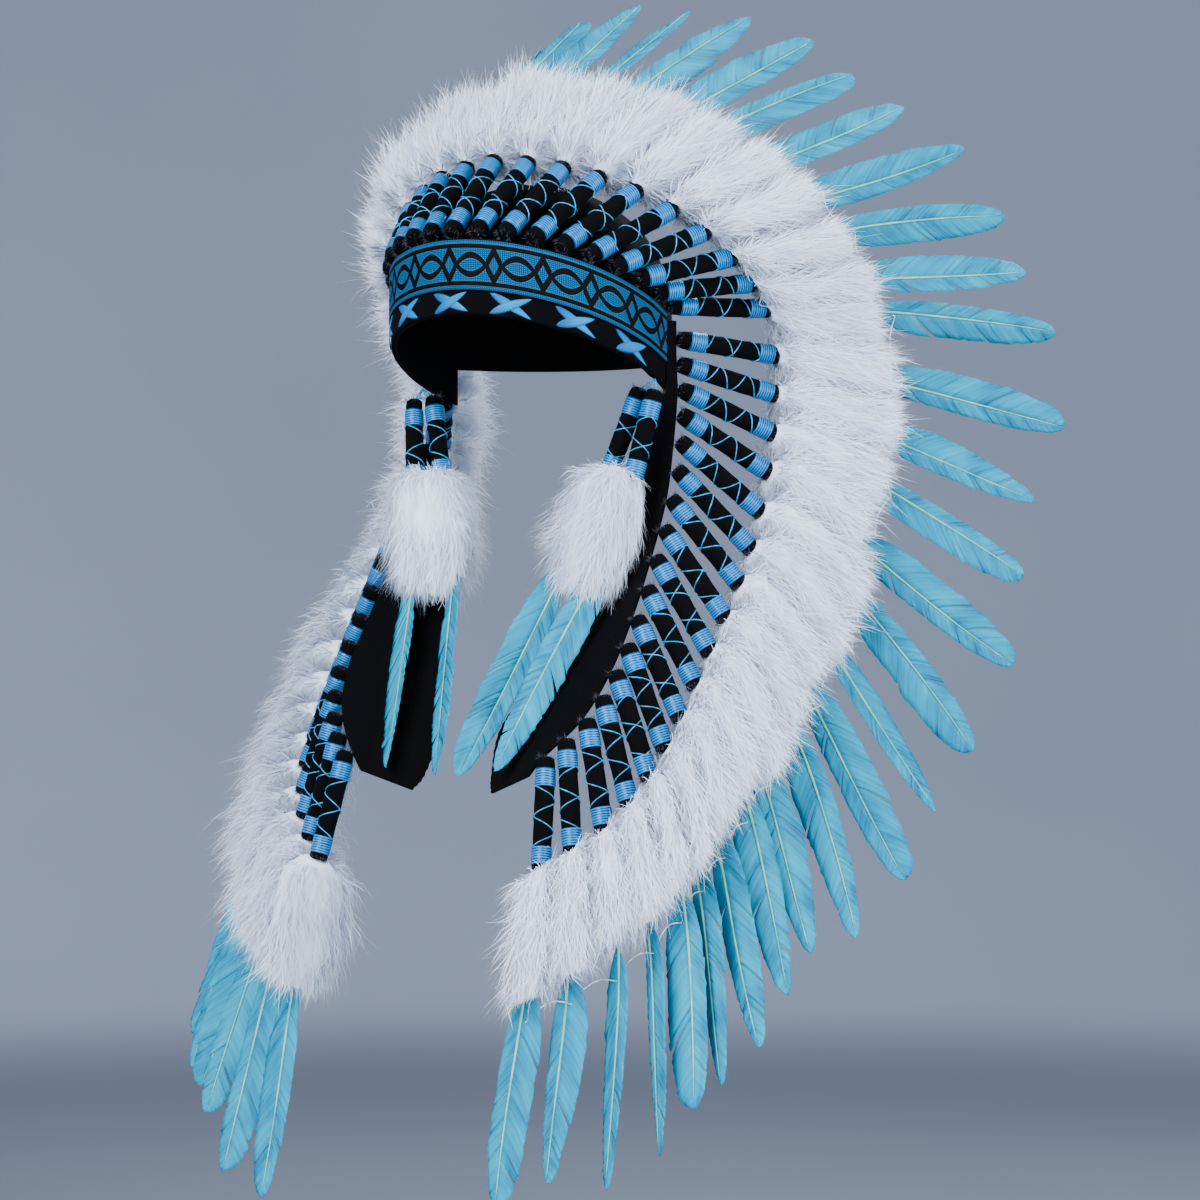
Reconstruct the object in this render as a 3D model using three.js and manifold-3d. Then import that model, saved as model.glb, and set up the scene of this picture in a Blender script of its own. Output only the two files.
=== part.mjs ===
// A feathered headdress: a felt brow band with a woven ribbon, a soft cap, two felt trailers that
// hang past the shoulders, and a crown of plumes. Each plume is a quill in a thread-wound sleeve,
// a tuft of long white fur and one feather. A pair of small drops hangs at each temple.
// Units are millimetres. +Z is up, the wearer faces -Y, and the wearer's left is +X.
// The origin is the middle of the band's lower edge at the height of the ears.

import * as THREE from 'three';
import { mergeVertices } from 'three/addons/utils/BufferGeometryUtils.js';
import Module from 'manifold-3d';

const wasm = await Module();
wasm.setup();

// Felt band, cap and ribbon
const bandRadius = 98; // outer face of the band
const feltWall = 2;
const bandHeight = 50;
const browRise = 38; // the band's lower edge is this much higher at the brow than at the ears
const bandReach = 100; // degrees from the brow to each end of the band
const bandSections = 26;
const capSpring = 48; // height where the cap's side turns into its dome
const capDome = 86; // height of the dome above that
const capBackRim = 12; // height of the cap's rim behind the head
const capBackStart = 34; // the rim steps up this far behind the ears
const capSegments = 40;
const domeSteps = 7;
const ribbonHeight = 34;
const ribbonThickness = 1;
const ribbonDrop = 0.6; // the ribbon's upper edge lies this far below the band's
const seam = 0.3; // clearance between pieces that are sewn together

// Plumes
const plumesPerSide = 26; // besides the one over the brow
const bandPlumes = 9; // how many of a side's plumes stand on the band; the rest are on the trailer
const plumePitch = bandReach / bandPlumes; // degrees between plumes on the band
const plumeLength = 300;
const sleeveLength = 76;
const sleeveRadius = 6.6;
const sleeveStub = 4.2; // radius of the sleeve's tied inner end
const stubLength = 6;
const rootLean = 0.7; // how far the side plumes' stubs lean out past the band, as a share of a stub
const bendLength = 124; // the quill turns from the sleeve's line to the feather's over this length
const furStart = 71;
const furEnd = 160;
const furHalfThickness = 33;
const furEndWidth = 17; // half width of the last tuft on its free side
const furGap = 0.6; // clearance between neighbouring tufts
const featherHalfWidth = 14;
const featherHalfThickness = 0.8;
const featherTwist = 20; // degrees that feathers differ in their turn, one way and the other

// Trailers
const trailerDrop = 254; // depth of the last plume's root below the ears
const trailerTop = 9.35; // where the trailer starts, counted in plumes from the brow
const trailerEnd = 27;
const flapWidth = 74; // widest part of the trailer, on the chest

// Temple drops
const dropSleeveLength = 66;
const dropThreadRadius = 1.2;
const dropAngle = 92; // degrees from the brow to where the drops are tied
const dropTuftLength = 88;
const dropTuftHalfWidth = 32;
const dropTuftHalfThickness = 23;
const dropFeatherLength = 152;
const dropFeatherHalfWidth = 16;

// Directions of the quills, in degrees. fan turns from straight up over the brow to straight down,
// and sweep leans the quill back (+) or forward (-). The tip columns are for the feather, and turn
// is how far the feather is turned about its shaft.
const directionTable = [
  { plume: 0, fan: 0, sweep: 43, tipFan: 0, tipSweep: 57, turn: 0 },
  { plume: 4, fan: 30, sweep: 49, tipFan: 36, tipSweep: 59, turn: 0 },
  { plume: 8, fan: 77, sweep: 56, tipFan: 83, tipSweep: 57.5, turn: 0 },
  { plume: 10, fan: 102, sweep: 54, tipFan: 108, tipSweep: 51, turn: 5 },
  { plume: 12, fan: 125, sweep: 47, tipFan: 132, tipSweep: 42, turn: 10 },
  { plume: 14, fan: 140, sweep: 33, tipFan: 148, tipSweep: 27, turn: 16 },
  { plume: 16, fan: 145, sweep: 17, tipFan: 156, tipSweep: 10, turn: 24 },
  { plume: 18, fan: 149, sweep: 6, tipFan: 160, tipSweep: -4.5, turn: 34 },
  { plume: 20, fan: 153, sweep: 0, tipFan: 162, tipSweep: -13.5, turn: 42 },
  { plume: 23, fan: 160.5, sweep: -4.5, tipFan: 167, tipSweep: -17.5, turn: 42 },
  { plume: 26, fan: 173, sweep: -15, tipFan: 182.5, tipSweep: -15.5, turn: 30 },
];

// Outer edge of a trailer. out and back are shares of the band's radius, down is a share of the
// trailer's drop, width a share of the flap's width, turn the heading of its width in degrees
// (0 straight inward, 90 straight forward) and hang how much lower the inner edge lies, as a share
// of the trailer's drop.
const trailerTable = [
  { plume: 9.35, out: 0.985, back: 0.31, down: -0.15, width: 0.145, turn: 84, hang: 0 },
  { plume: 10, out: 0.985, back: 0.31, down: -0.102, width: 0.145, turn: 84, hang: 0 },
  { plume: 11, out: 0.988, back: 0.31, down: -0.035, width: 0.147, turn: 83, hang: 0 },
  { plume: 12, out: 1.0, back: 0.305, down: 0.032, width: 0.165, turn: 77, hang: 0 },
  { plume: 13, out: 1.025, back: 0.255, down: 0.1, width: 0.22, turn: 52, hang: 0 },
  { plume: 14, out: 1.05, back: 0.184, down: 0.173, width: 0.27, turn: 24, hang: 0 },
  { plume: 16, out: 1.082, back: 0.031, down: 0.327, width: 0.33, turn: -22, hang: 0 },
  { plume: 18, out: 1.095, back: -0.184, down: 0.484, width: 0.54, turn: -32, hang: 0 },
  { plume: 20, out: 1.108, back: -0.442, down: 0.642, width: 0.78, turn: -19, hang: 0.01 },
  { plume: 22, out: 1.1, back: -0.7, down: 0.782, width: 0.94, turn: -12, hang: 0.02 },
  { plume: 24, out: 1.0, back: -0.9, down: 0.904, width: 1.0, turn: -11, hang: 0.03 },
  { plume: 26, out: 0.79, back: -1.06, down: 1.005, width: 0.7, turn: -15, hang: 0.06 },
  { plume: 27, out: 0.7, back: -1.085, down: 1.05, width: 0.5, turn: -15, hang: 0.05 },
];

// Sections of a tuft from its inner to its outer end. along is a share of the fur's length, thick
// and wide are shares of its thickness and of the room between its neighbours.
const tuftTable = [
  { along: 0, thick: 0.42, wide: 0.8 },
  { along: 0.14, thick: 0.84, wide: 1.0 },
  { along: 0.45, thick: 1.0, wide: 1.0 },
  { along: 0.8, thick: 0.86, wide: 1.0 },
  { along: 1.0, thick: 0.4, wide: 0.72 },
];
const furGroove = 0.8; // thickness at the groove between two tufts, as a share of the middle's

// Sections of a feather past the fur, as shares of its length and half width
const featherTable = [
  { along: 0.02, wide: 0.5 },
  { along: 0.26, wide: 0.94 },
  { along: 0.55, wide: 1.0 },
  { along: 0.85, wide: 0.66 },
  { along: 1.0, wide: 0.07 },
];

// Small differences from one plume to the next, used in turn. length is a share of the plume's
// length, bend the sideways bow of the feather's tip as a share of the feather's half width.
const plumeVariation = [
  { length: 1.0, twist: 1.0, bend: 0.25 },
  { length: 0.965, twist: -0.7, bend: -0.2 },
  { length: 1.015, twist: 0.6, bend: 0.4 },
  { length: 0.98, twist: -1.0, bend: 0.1 },
  { length: 1.0, twist: 0.8, bend: -0.3 },
  { length: 0.955, twist: -0.5, bend: 0.3 },
  { length: 1.01, twist: 0.9, bend: 0.0 },
];

const materials = {
  plume: new THREE.MeshStandardMaterial({ color: 0x9fd8e6, roughness: 0.8, metalness: 0 }),
  felt: new THREE.MeshStandardMaterial({ color: 0x121214, roughness: 0.95, metalness: 0 }),
  ribbon: new THREE.MeshStandardMaterial({ color: 0x1f7fb0, roughness: 0.7, metalness: 0 }),
};

const radians = THREE.MathUtils.degToRad;
const sixSidedFlat = Math.cos(Math.PI / 6); // distance to a hexagon's flat over its radius

// A smooth curve through the rows of a table, read at any plume number
function tableCurve(rows, columns) {
  const positions = rows.map((row) => row.plume);
  const values = rows.flatMap((row) => columns.map((column) => row[column]));
  const curve = new THREE.CubicInterpolant(positions, values, columns.length);
  return (plume) => {
    const result = curve.evaluate(plume);
    return Object.fromEntries(columns.map((column, index) => [column, result[index]]));
  };
}

const directionAt = tableCurve(directionTable, ['fan', 'sweep', 'tipFan', 'tipSweep', 'turn']);
const trailerAt = tableCurve(trailerTable, ['out', 'back', 'down', 'width', 'turn', 'hang']);

function quillDirection(fan, sweep) {
  const level = Math.cos(radians(sweep));
  return new THREE.Vector3(
    level * Math.sin(radians(fan)),
    Math.sin(radians(sweep)),
    level * Math.cos(radians(fan)),
  );
}

// A point on the band: angle in degrees from the brow, height above the band's lower edge
function bandPoint(angle, radius, height) {
  const turn = radians(angle);
  return new THREE.Vector3(
    radius * Math.sin(turn),
    -radius * Math.cos(turn),
    browRise * Math.cos(turn) + height,
  );
}

// The two edges of a trailer's middle surface at a plume number, on the wearer's left
function trailerEdges(plume) {
  const row = trailerAt(plume);
  const outer = new THREE.Vector3(
    row.out * bandRadius,
    row.back * bandRadius,
    -row.down * trailerDrop,
  );
  const inward = new THREE.Vector3(-Math.cos(radians(row.turn)), -Math.sin(radians(row.turn)), 0);
  const inner = outer.clone().addScaledVector(inward, row.width * flapWidth);
  inner.z -= row.hang * trailerDrop;
  return { outer, inner };
}

// Where a plume's sleeve starts and which way its quill runs, on the wearer's left
function plumeSeat(plume) {
  const row = directionAt(plume);
  const direction = quillDirection(row.fan, row.sweep);
  const tipDirection = quillDirection(row.tipFan, row.tipSweep);
  if (plume <= bandPlumes) {
    const lean = rootLean * sleeveStub * (1 - Math.max(direction.z, 0));
    const radius = bandRadius - feltWall / 2 + lean;
    const lift = seam + sleeveStub * sixSidedFlat * Math.sqrt(1 - direction.z * direction.z);
    const root = bandPoint(plume * plumePitch, radius, bandHeight + lift);
    return { root, direction, tipDirection };
  }
  const { outer, inner } = trailerEdges(plume);
  const outward = outer.clone().sub(inner).normalize();
  const facing = direction.dot(outward);
  const slant = Math.sqrt(1 - facing * facing);
  const below = trailerEdges(plume + 0.3).outer; // about a stub's length farther down the edge
  const recess = outer.clone().sub(below).dot(outward);
  const stubReach = sleeveStub * slant;
  const sleeveReach = sleeveRadius * slant * sixSidedFlat - stubLength * facing - recess;
  const root = outer.addScaledVector(outward, seam + Math.max(stubReach, sleeveReach));
  return { root, direction, tipDirection };
}

// The same for any plume: negative numbers are the wearer's right
function signedSeat(index) {
  const seat = plumeSeat(Math.abs(index));
  if (index < 0) {
    for (const vector of Object.values(seat)) vector.x = -vector.x;
  }
  return seat;
}

// A point on the quill's axis, and its heading there, at a distance from the sleeve's inner end
function quillAt(index, distance) {
  const { root, direction, tipDirection } = signedSeat(index);
  if (distance <= sleeveLength) {
    return { point: root.addScaledVector(direction, distance), heading: direction };
  }
  const past = distance - sleeveLength;
  const bend = Math.min(past, bendLength);
  const turn = tipDirection.clone().sub(direction);
  const point = root
    .addScaledVector(direction, sleeveLength + bend)
    .addScaledVector(turn, (bend * bend) / (2 * bendLength))
    .addScaledVector(tipDirection, past - bend);
  const heading = direction.addScaledVector(turn, bend / bendLength).normalize();
  return { point, heading };
}

// The line between two neighbouring tufts at a distance along them: its middle, the way across
// from the lower-numbered to the higher-numbered plume, and the face normal of the crown there
function furBoundary(lowIndex, distance) {
  const low = quillAt(lowIndex, distance);
  const high = quillAt(lowIndex + 1, distance);
  const across = high.point.clone().sub(low.point);
  const width = across.length();
  across.normalize();
  const heading = low.heading.clone().add(high.heading).normalize();
  const normal = across.clone().cross(heading).normalize();
  return { middle: low.point.add(high.point).multiplyScalar(0.5), across, normal, width };
}

// The boundary on one side of a tuft; the last tuft on each side is free there
function tuftSide(index, side, distance) {
  const isFree = Math.abs(index + side) > plumesPerSide;
  const lowIndex = side > 0 ? index : index - 1;
  const boundary = furBoundary(isFree ? lowIndex - side : lowIndex, distance);
  if (isFree) {
    boundary.middle = quillAt(index, distance).point;
    boundary.middle.addScaledVector(boundary.across, side * furEndWidth);
  }
  boundary.middle.addScaledVector(boundary.across, (-side * furGap) / 2);
  return boundary;
}

// Six points around the axis, in the order front, right front, right back, back, left back,
// left front. right and left are given as { middle, normal } with their own front direction.
function hexagon(front, frontReach, right, left, sideReach, center) {
  return [
    center.clone().addScaledVector(front, frontReach),
    right.middle.clone().addScaledVector(right.normal, sideReach),
    right.middle.clone().addScaledVector(right.normal, -sideReach),
    center.clone().addScaledVector(front, -frontReach),
    left.middle.clone().addScaledVector(left.normal, -sideReach),
    left.middle.clone().addScaledVector(left.normal, sideReach),
  ];
}

// A section with plain sizes about a point: half width, half thickness and the sides' thickness
function plainHexagon(center, across, normal, halfWidth, halfThickness, sideThickness) {
  const right = { middle: center.clone().addScaledVector(across, halfWidth), normal };
  const left = { middle: center.clone().addScaledVector(across, -halfWidth), normal };
  return hexagon(normal, halfThickness, right, left, sideThickness, center);
}

function roundHexagon(center, across, normal, radius) {
  const sideWidth = radius * Math.cos(Math.PI / 6);
  return plainHexagon(center, across, normal, sideWidth, radius, radius / 2);
}

// A closed body through rings of equally many points that turn to the right about the way ahead.
// The second half of each ring has its diagonals the other way, so that neighbours fit.
function loft(rings) {
  const count = rings[0].length;
  const index = [];
  const at = (ring, point) => ring * count + (point % count);
  for (let ring = 0; ring < rings.length - 1; ring += 1) {
    for (let point = 0; point < count; point += 1) {
      const [a, b] = [at(ring, point), at(ring, point + 1)];
      const [c, d] = [at(ring + 1, point + 1), at(ring + 1, point)];
      if (point < count / 2) index.push(a, b, c, a, c, d);
      else index.push(a, b, d, b, c, d);
    }
  }
  const last = rings.length - 1;
  for (let point = 1; point < count - 1; point += 1) {
    index.push(at(0, 0), at(0, point + 1), at(0, point));
    index.push(at(last, 0), at(last, point), at(last, point + 1));
  }
  const geometry = new THREE.BufferGeometry().setFromPoints(rings.flat());
  geometry.setIndex(index);
  return geometry;
}

function toSolid(geometry) {
  const bare = geometry.clone();
  bare.deleteAttribute('normal');
  bare.deleteAttribute('uv');
  const merged = mergeVertices(bare, 1e-4);
  return new wasm.Manifold(new wasm.Mesh({
    numProp: 3,
    vertProperties: new Float32Array(merged.attributes.position.array),
    triVerts: new Uint32Array(merged.index.array),
  }));
}

function toGeometry(solid) {
  const mesh = solid.getMesh();
  const geometry = new THREE.BufferGeometry();
  geometry.setAttribute('position', new THREE.BufferAttribute(mesh.vertProperties, 3));
  geometry.setIndex(new THREE.BufferAttribute(mesh.triVerts, 1));
  return geometry;
}

function namedMesh(name, geometry, material) {
  geometry.computeVertexNormals();
  const mesh = new THREE.Mesh(geometry, material);
  mesh.name = name;
  return mesh;
}

// The crown's face normal and the way across it at a plume, a distance along its quill
function plumeFrame(index, distance) {
  const after = tuftSide(index, 1, distance);
  const before = tuftSide(index, -1, distance);
  const across = after.across.clone().add(before.across).normalize();
  const { point, heading } = quillAt(index, distance);
  const normal = across.clone().cross(heading).normalize();
  return { point, heading, normal, across: heading.clone().cross(normal), after, before };
}

function sleeveRings(index) {
  const stations = [
    { distance: 0, radius: sleeveStub },
    { distance: stubLength, radius: sleeveRadius },
    { distance: furStart - 1, radius: sleeveRadius },
  ];
  return stations.map(({ distance, radius }) => {
    const { point, across, normal } = plumeFrame(index, distance);
    return roundHexagon(point, across, normal, radius);
  });
}

function tuftRings(index) {
  return tuftTable.map((row) => {
    const distance = furStart + row.along * (furEnd - furStart);
    const { point, normal, after, before } = plumeFrame(index, distance);
    const reach = furHalfThickness * row.thick;
    const right = { middle: point.clone().lerp(after.middle, row.wide), normal: after.normal };
    const left = { middle: point.clone().lerp(before.middle, row.wide), normal: before.normal };
    return hexagon(normal, reach, right, left, reach * furGroove, point);
  });
}

function featherRings(index) {
  const count = plumeVariation.length;
  const variation = plumeVariation[(((index * 3) % count) + count) % count];
  const length = plumeLength * variation.length - furEnd;
  const turn = Math.sign(index) * directionAt(Math.abs(index)).turn;
  const twist = radians(turn + featherTwist * variation.twist);
  return featherTable.map((row) => {
    const frame = plumeFrame(index, furEnd + row.along * length);
    const across = frame.across.clone().applyAxisAngle(frame.heading, twist);
    const normal = frame.normal.clone().applyAxisAngle(frame.heading, twist);
    const bow = variation.bend * featherHalfWidth * row.along * row.along;
    const center = frame.point.clone().addScaledVector(across, bow);
    const halfWidth = featherHalfWidth * row.wide;
    return plainHexagon(center, across, normal, halfWidth, featherHalfThickness, 0.3);
  });
}

function plumeGeometry(index) {
  return loft([...sleeveRings(index), ...tuftRings(index), ...featherRings(index)]);
}

function plumeName(index) {
  if (index === 0) return 'plume_center';
  const number = String(Math.abs(index)).padStart(2, '0');
  return `plume_${index > 0 ? 'l' : 'r'}${number}`;
}

// A curved wall on the band: a rectangle carried from one end of the band to the other
function bandWall(innerRadius, outerRadius, bottom, top, reach) {
  const rings = [];
  for (let step = 0; step <= bandSections; step += 1) {
    const angle = THREE.MathUtils.lerp(-reach, reach, step / bandSections);
    rings.push([
      bandPoint(angle, innerRadius, bottom),
      bandPoint(angle, innerRadius, top),
      bandPoint(angle, outerRadius, top),
      bandPoint(angle, outerRadius, bottom),
    ]);
  }
  return loft(rings);
}

// The cap: a dome of cloth inside the band, cut along the band's lower edge in front and
// higher behind
function capGeometry() {
  const outerRadius = bandRadius - feltWall - seam;
  const profile = [];
  const domePoint = (radius, rise, step) => {
    const turn = (Math.PI / 2) * (step / domeSteps);
    return new THREE.Vector2(radius * Math.sin(turn), capSpring + rise * Math.cos(turn));
  };
  for (let step = 0; step <= domeSteps; step += 1) {
    profile.push(domePoint(outerRadius, capDome, step));
  }
  profile.push(new THREE.Vector2(outerRadius, -bandHeight));
  profile.push(new THREE.Vector2(outerRadius - feltWall, -bandHeight));
  for (let step = domeSteps; step >= 0; step -= 1) {
    profile.push(domePoint(outerRadius - feltWall, capDome - feltWall, step));
  }
  profile[0].x = 0;
  profile[profile.length - 1].x = 0;
  const dome = new THREE.LatheGeometry(profile.reverse(), capSegments);
  dome.rotateX(Math.PI / 2);
  const size = 4 * bandRadius;
  const below = new THREE.BoxGeometry(size, size, size);
  below.translate(0, 0, -size / 2);
  below.rotateX(-Math.atan2(browRise, bandRadius));
  const behind = new THREE.BoxGeometry(size, size, size);
  behind.translate(0, capBackStart + size / 2, capBackRim - size / 2);
  return toGeometry(toSolid(dome).subtract(toSolid(below)).subtract(toSolid(behind)));
}

// A trailer: a felt strip from the band's end down beside the face, widening to a flap
function trailerGeometry(side) {
  const rings = [];
  const steps = Math.round((trailerEnd - trailerTop) * 1.1);
  for (let step = 0; step <= steps; step += 1) {
    const plume = THREE.MathUtils.lerp(trailerTop, trailerEnd, step / steps);
    const { outer, inner } = trailerEdges(plume);
    const next = trailerEdges(plume + 0.05);
    const previous = trailerEdges(plume - 0.05);
    const along = next.outer.add(next.inner).sub(previous.outer).sub(previous.inner);
    const face = outer.clone().sub(inner).cross(along).setLength(feltWall / 2);
    rings.push([
      outer.clone().sub(face),
      inner.clone().sub(face),
      inner.clone().add(face),
      outer.clone().add(face),
    ]);
  }
  if (side > 0) return loft(rings);
  for (const point of rings.flat()) point.x = -point.x;
  return loft(rings.map((ring) => ring.reverse()));
}

// A straight round bar between two points, as a body
function bar(from, to, startRadius, endRadius) {
  const heading = to.clone().sub(from).normalize();
  const across = new THREE.Vector3(0, 1, 0).cross(heading).normalize();
  const normal = across.clone().cross(heading).normalize();
  return toSolid(loft([
    roundHexagon(from, across, normal, startRadius),
    roundHexagon(to, across, normal, endRadius),
  ]));
}

// A temple drop on the wearer's left: two sleeves on threads, one tuft and two feathers
function dropSolid() {
  const knot = bandPoint(dropAngle, bandRadius - feltWall / 2, -seam - dropThreadRadius);
  const tuftTop = knot.clone().add(new THREE.Vector3(-21, -20, -60));
  const sleeves = [
    { top: new THREE.Vector3(-10.5, -2, -6), hang: new THREE.Vector3(-0.28, -0.2, -0.94) },
    { top: new THREE.Vector3(3.5, -5.4, -8), hang: new THREE.Vector3(-0.16, -0.2, -0.97) },
  ];
  let solid = null;
  const add = (body) => {
    solid = solid ? solid.add(body) : body;
  };
  for (const { top, hang } of sleeves) {
    const start = knot.clone().add(top);
    const bottom = start.clone().addScaledVector(hang, dropSleeveLength);
    add(bar(start, bottom, sleeveRadius, sleeveRadius));
    add(bar(knot, start.clone().lerp(bottom, 0.03), dropThreadRadius, dropThreadRadius));
  }
  const tuftHeading = new THREE.Vector3(-0.16, -0.15, -1).normalize();
  const across = new THREE.Vector3(0.93, -0.36, 0);
  const normal = across.clone().cross(tuftHeading).normalize();
  add(toSolid(loft(tuftTable.map((row) => {
    const center = tuftTop.clone().addScaledVector(tuftHeading, row.along * dropTuftLength);
    const halfWidth = dropTuftHalfWidth * row.thick;
    const halfThickness = dropTuftHalfThickness * row.thick;
    return plainHexagon(center, across, normal, halfWidth, halfThickness, halfThickness * 0.7);
  }))));
  const tuftEnd = tuftTop.clone().addScaledVector(tuftHeading, dropTuftLength * 0.86);
  const feathers = [
    { start: new THREE.Vector3(-20, -7, 0), heading: new THREE.Vector3(-0.2, -0.42, -0.82) },
    { start: new THREE.Vector3(9, -8, 0), heading: new THREE.Vector3(-0.24, -0.52, -0.82) },
  ];
  const featherAcross = new THREE.Vector3(0.85, 0.52, 0);
  for (const { start, heading } of feathers) {
    heading.normalize();
    const from = tuftEnd.clone().add(start);
    const flatNormal = featherAcross.clone().cross(heading).normalize();
    const flatAcross = heading.clone().cross(flatNormal);
    add(toSolid(loft(featherTable.map((row) => {
      const center = from.clone().addScaledVector(heading, row.along * dropFeatherLength);
      const halfWidth = dropFeatherHalfWidth * row.wide;
      return plainHexagon(center, flatAcross, flatNormal, halfWidth, featherHalfThickness, 0.3);
    }))));
  }
  return solid;
}

function dropGeometry(side) {
  const geometry = toGeometry(dropSolid());
  if (side > 0) return geometry;
  geometry.scale(-1, 1, 1);
  const order = geometry.index.array;
  for (let corner = 0; corner < order.length; corner += 3) {
    [order[corner], order[corner + 1]] = [order[corner + 1], order[corner]];
  }
  return geometry;
}

const headdress = new THREE.Group();
const bandInner = bandRadius - feltWall;
const ribbonInner = bandRadius + seam;
const ribbonTop = bandHeight - ribbonDrop;
const bandBody = bandWall(bandInner, bandRadius, 0, bandHeight, bandReach);
const ribbonBody = bandWall(
  ribbonInner,
  ribbonInner + ribbonThickness,
  ribbonTop - ribbonHeight,
  ribbonTop,
  bandReach,
);
headdress.add(namedMesh('brow_band', bandBody, materials.felt));
headdress.add(namedMesh('woven_ribbon', ribbonBody, materials.ribbon));
headdress.add(namedMesh('cap', capGeometry(), materials.felt));
headdress.add(namedMesh('trailer_left', trailerGeometry(1), materials.felt));
headdress.add(namedMesh('trailer_right', trailerGeometry(-1), materials.felt));
headdress.add(namedMesh('drop_left', dropGeometry(1), materials.plume));
headdress.add(namedMesh('drop_right', dropGeometry(-1), materials.plume));
for (let index = -plumesPerSide; index <= plumesPerSide; index += 1) {
  headdress.add(namedMesh(plumeName(index), plumeGeometry(index), materials.plume));
}

export default headdress;
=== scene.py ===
"""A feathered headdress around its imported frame: felt band, cap and trailers, woven ribbon,
straw stitches, fur plumes in thread-wound sleeves and two temple drops."""
import math

import bmesh
import bpy
import numpy as np
from mathutils import Matrix, Vector


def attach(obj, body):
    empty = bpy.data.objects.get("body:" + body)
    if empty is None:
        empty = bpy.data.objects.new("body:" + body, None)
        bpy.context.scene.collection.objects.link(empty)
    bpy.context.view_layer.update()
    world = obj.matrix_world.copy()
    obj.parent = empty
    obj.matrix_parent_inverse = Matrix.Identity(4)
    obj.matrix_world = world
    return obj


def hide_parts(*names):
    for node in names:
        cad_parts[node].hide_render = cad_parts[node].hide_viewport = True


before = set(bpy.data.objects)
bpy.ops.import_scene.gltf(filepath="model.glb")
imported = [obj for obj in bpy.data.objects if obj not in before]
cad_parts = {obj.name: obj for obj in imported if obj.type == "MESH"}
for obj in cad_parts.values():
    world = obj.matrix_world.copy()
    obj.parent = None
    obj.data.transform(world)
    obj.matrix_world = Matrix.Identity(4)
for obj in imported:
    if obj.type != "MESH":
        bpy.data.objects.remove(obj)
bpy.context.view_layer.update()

bl_info = {
    "name": "Feathered headdress",
    "version": (1, 0, 0),
    "blender": (4, 5, 0),
    "location": "View3D > Sidebar > Headdress",
    "description": "Builds a felt headdress with fur plumes, feathers and temple drops",
    "category": "Add Mesh",
}

# Sizes of the frame, in millimetres and degrees
MM = 0.001
BAND_RADIUS = 98.0
FELT_WALL = 2.0
BAND_HEIGHT = 50.0
BROW_RISE = 38.0
BAND_REACH = 100.0
CAP_SPRING = 48.0
CAP_DOME = 86.0
CAP_BACK_RIM = 12.0
CAP_BACK_START = 34.0
CAP_FOLD_START = 46.0
RIBBON_HEIGHT = 34.0
RIBBON_THICKNESS = 1.0
RIBBON_DROP = 0.6
SEAM = 0.3
PLUMES_PER_SIDE = 26
BAND_PLUMES = 9
PLUME_PITCH = BAND_REACH / BAND_PLUMES
PLUME_LENGTH = 300.0
SLEEVE_LENGTH = 76.0
SLEEVE_RADIUS = 6.6
SLEEVE_STUB = 4.2
STUB_LENGTH = 6.0
ROOT_LEAN = 0.7
BEND_LENGTH = 124.0
FUR_START = 75.0
FUR_END = 160.0
FUR_HALF_THICKNESS = 33.0
FUR_END_WIDTH = 17.0
FUR_GAP = 0.6
FEATHER_HALF_WIDTH = 14.0
FEATHER_TWIST = 20.0
TRAILER_DROP = 254.0
TRAILER_TOP = 9.35
TRAILER_END = 27.0
FLAP_WIDTH = 74.0
DROP_SLEEVE_LENGTH = 66.0
DROP_THREAD_RADIUS = 1.2
DROP_ANGLE = 92.0
DROP_TUFT_LENGTH = 88.0
DROP_TUFT_HALF_WIDTH = 32.0
DROP_TUFT_HALF_THICKNESS = 23.0
DROP_FEATHER_LENGTH = 152.0
DROP_FEATHER_HALF_WIDTH = 16.0

# plume, fan, sweep, tip fan, tip sweep, turn
DIRECTION_TABLE = (
    (0, 0, 43, 0, 57, 0),
    (4, 30, 49, 36, 59, 0),
    (8, 77, 56, 83, 57.5, 0),
    (10, 102, 54, 108, 51, 5),
    (12, 125, 47, 132, 42, 10),
    (14, 140, 33, 148, 27, 16),
    (16, 145, 17, 156, 10, 24),
    (18, 149, 6, 160, -4.5, 34),
    (20, 153, 0, 162, -13.5, 42),
    (23, 160.5, -4.5, 167, -17.5, 42),
    (26, 173, -15, 182.5, -15.5, 30),
)
# plume, out, back, down, width, turn, hang
TRAILER_TABLE = (
    (9.35, 0.985, 0.31, -0.15, 0.145, 84, 0),
    (10, 0.985, 0.31, -0.102, 0.145, 84, 0),
    (11, 0.988, 0.31, -0.035, 0.147, 83, 0),
    (12, 1.0, 0.305, 0.032, 0.165, 77, 0),
    (13, 1.025, 0.255, 0.1, 0.22, 52, 0),
    (14, 1.05, 0.184, 0.173, 0.27, 24, 0),
    (16, 1.082, 0.031, 0.327, 0.33, -22, 0),
    (18, 1.095, -0.184, 0.484, 0.54, -32, 0),
    (20, 1.108, -0.442, 0.642, 0.78, -19, 0.01),
    (22, 1.1, -0.7, 0.782, 0.94, -12, 0.02),
    (24, 1.0, -0.9, 0.904, 1.0, -11, 0.03),
    (26, 0.79, -1.06, 1.005, 0.7, -15, 0.06),
    (27, 0.7, -1.085, 1.05, 0.5, -15, 0.05),
)
# length, twist, bow
PLUME_VARIATION = (
    (1.0, 1.0, 0.25),
    (0.965, -0.7, -0.2),
    (1.015, 0.6, 0.4),
    (0.98, -1.0, 0.1),
    (1.0, 0.8, -0.3),
    (0.955, -0.5, 0.3),
    (1.01, 0.9, 0.0),
)
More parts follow.
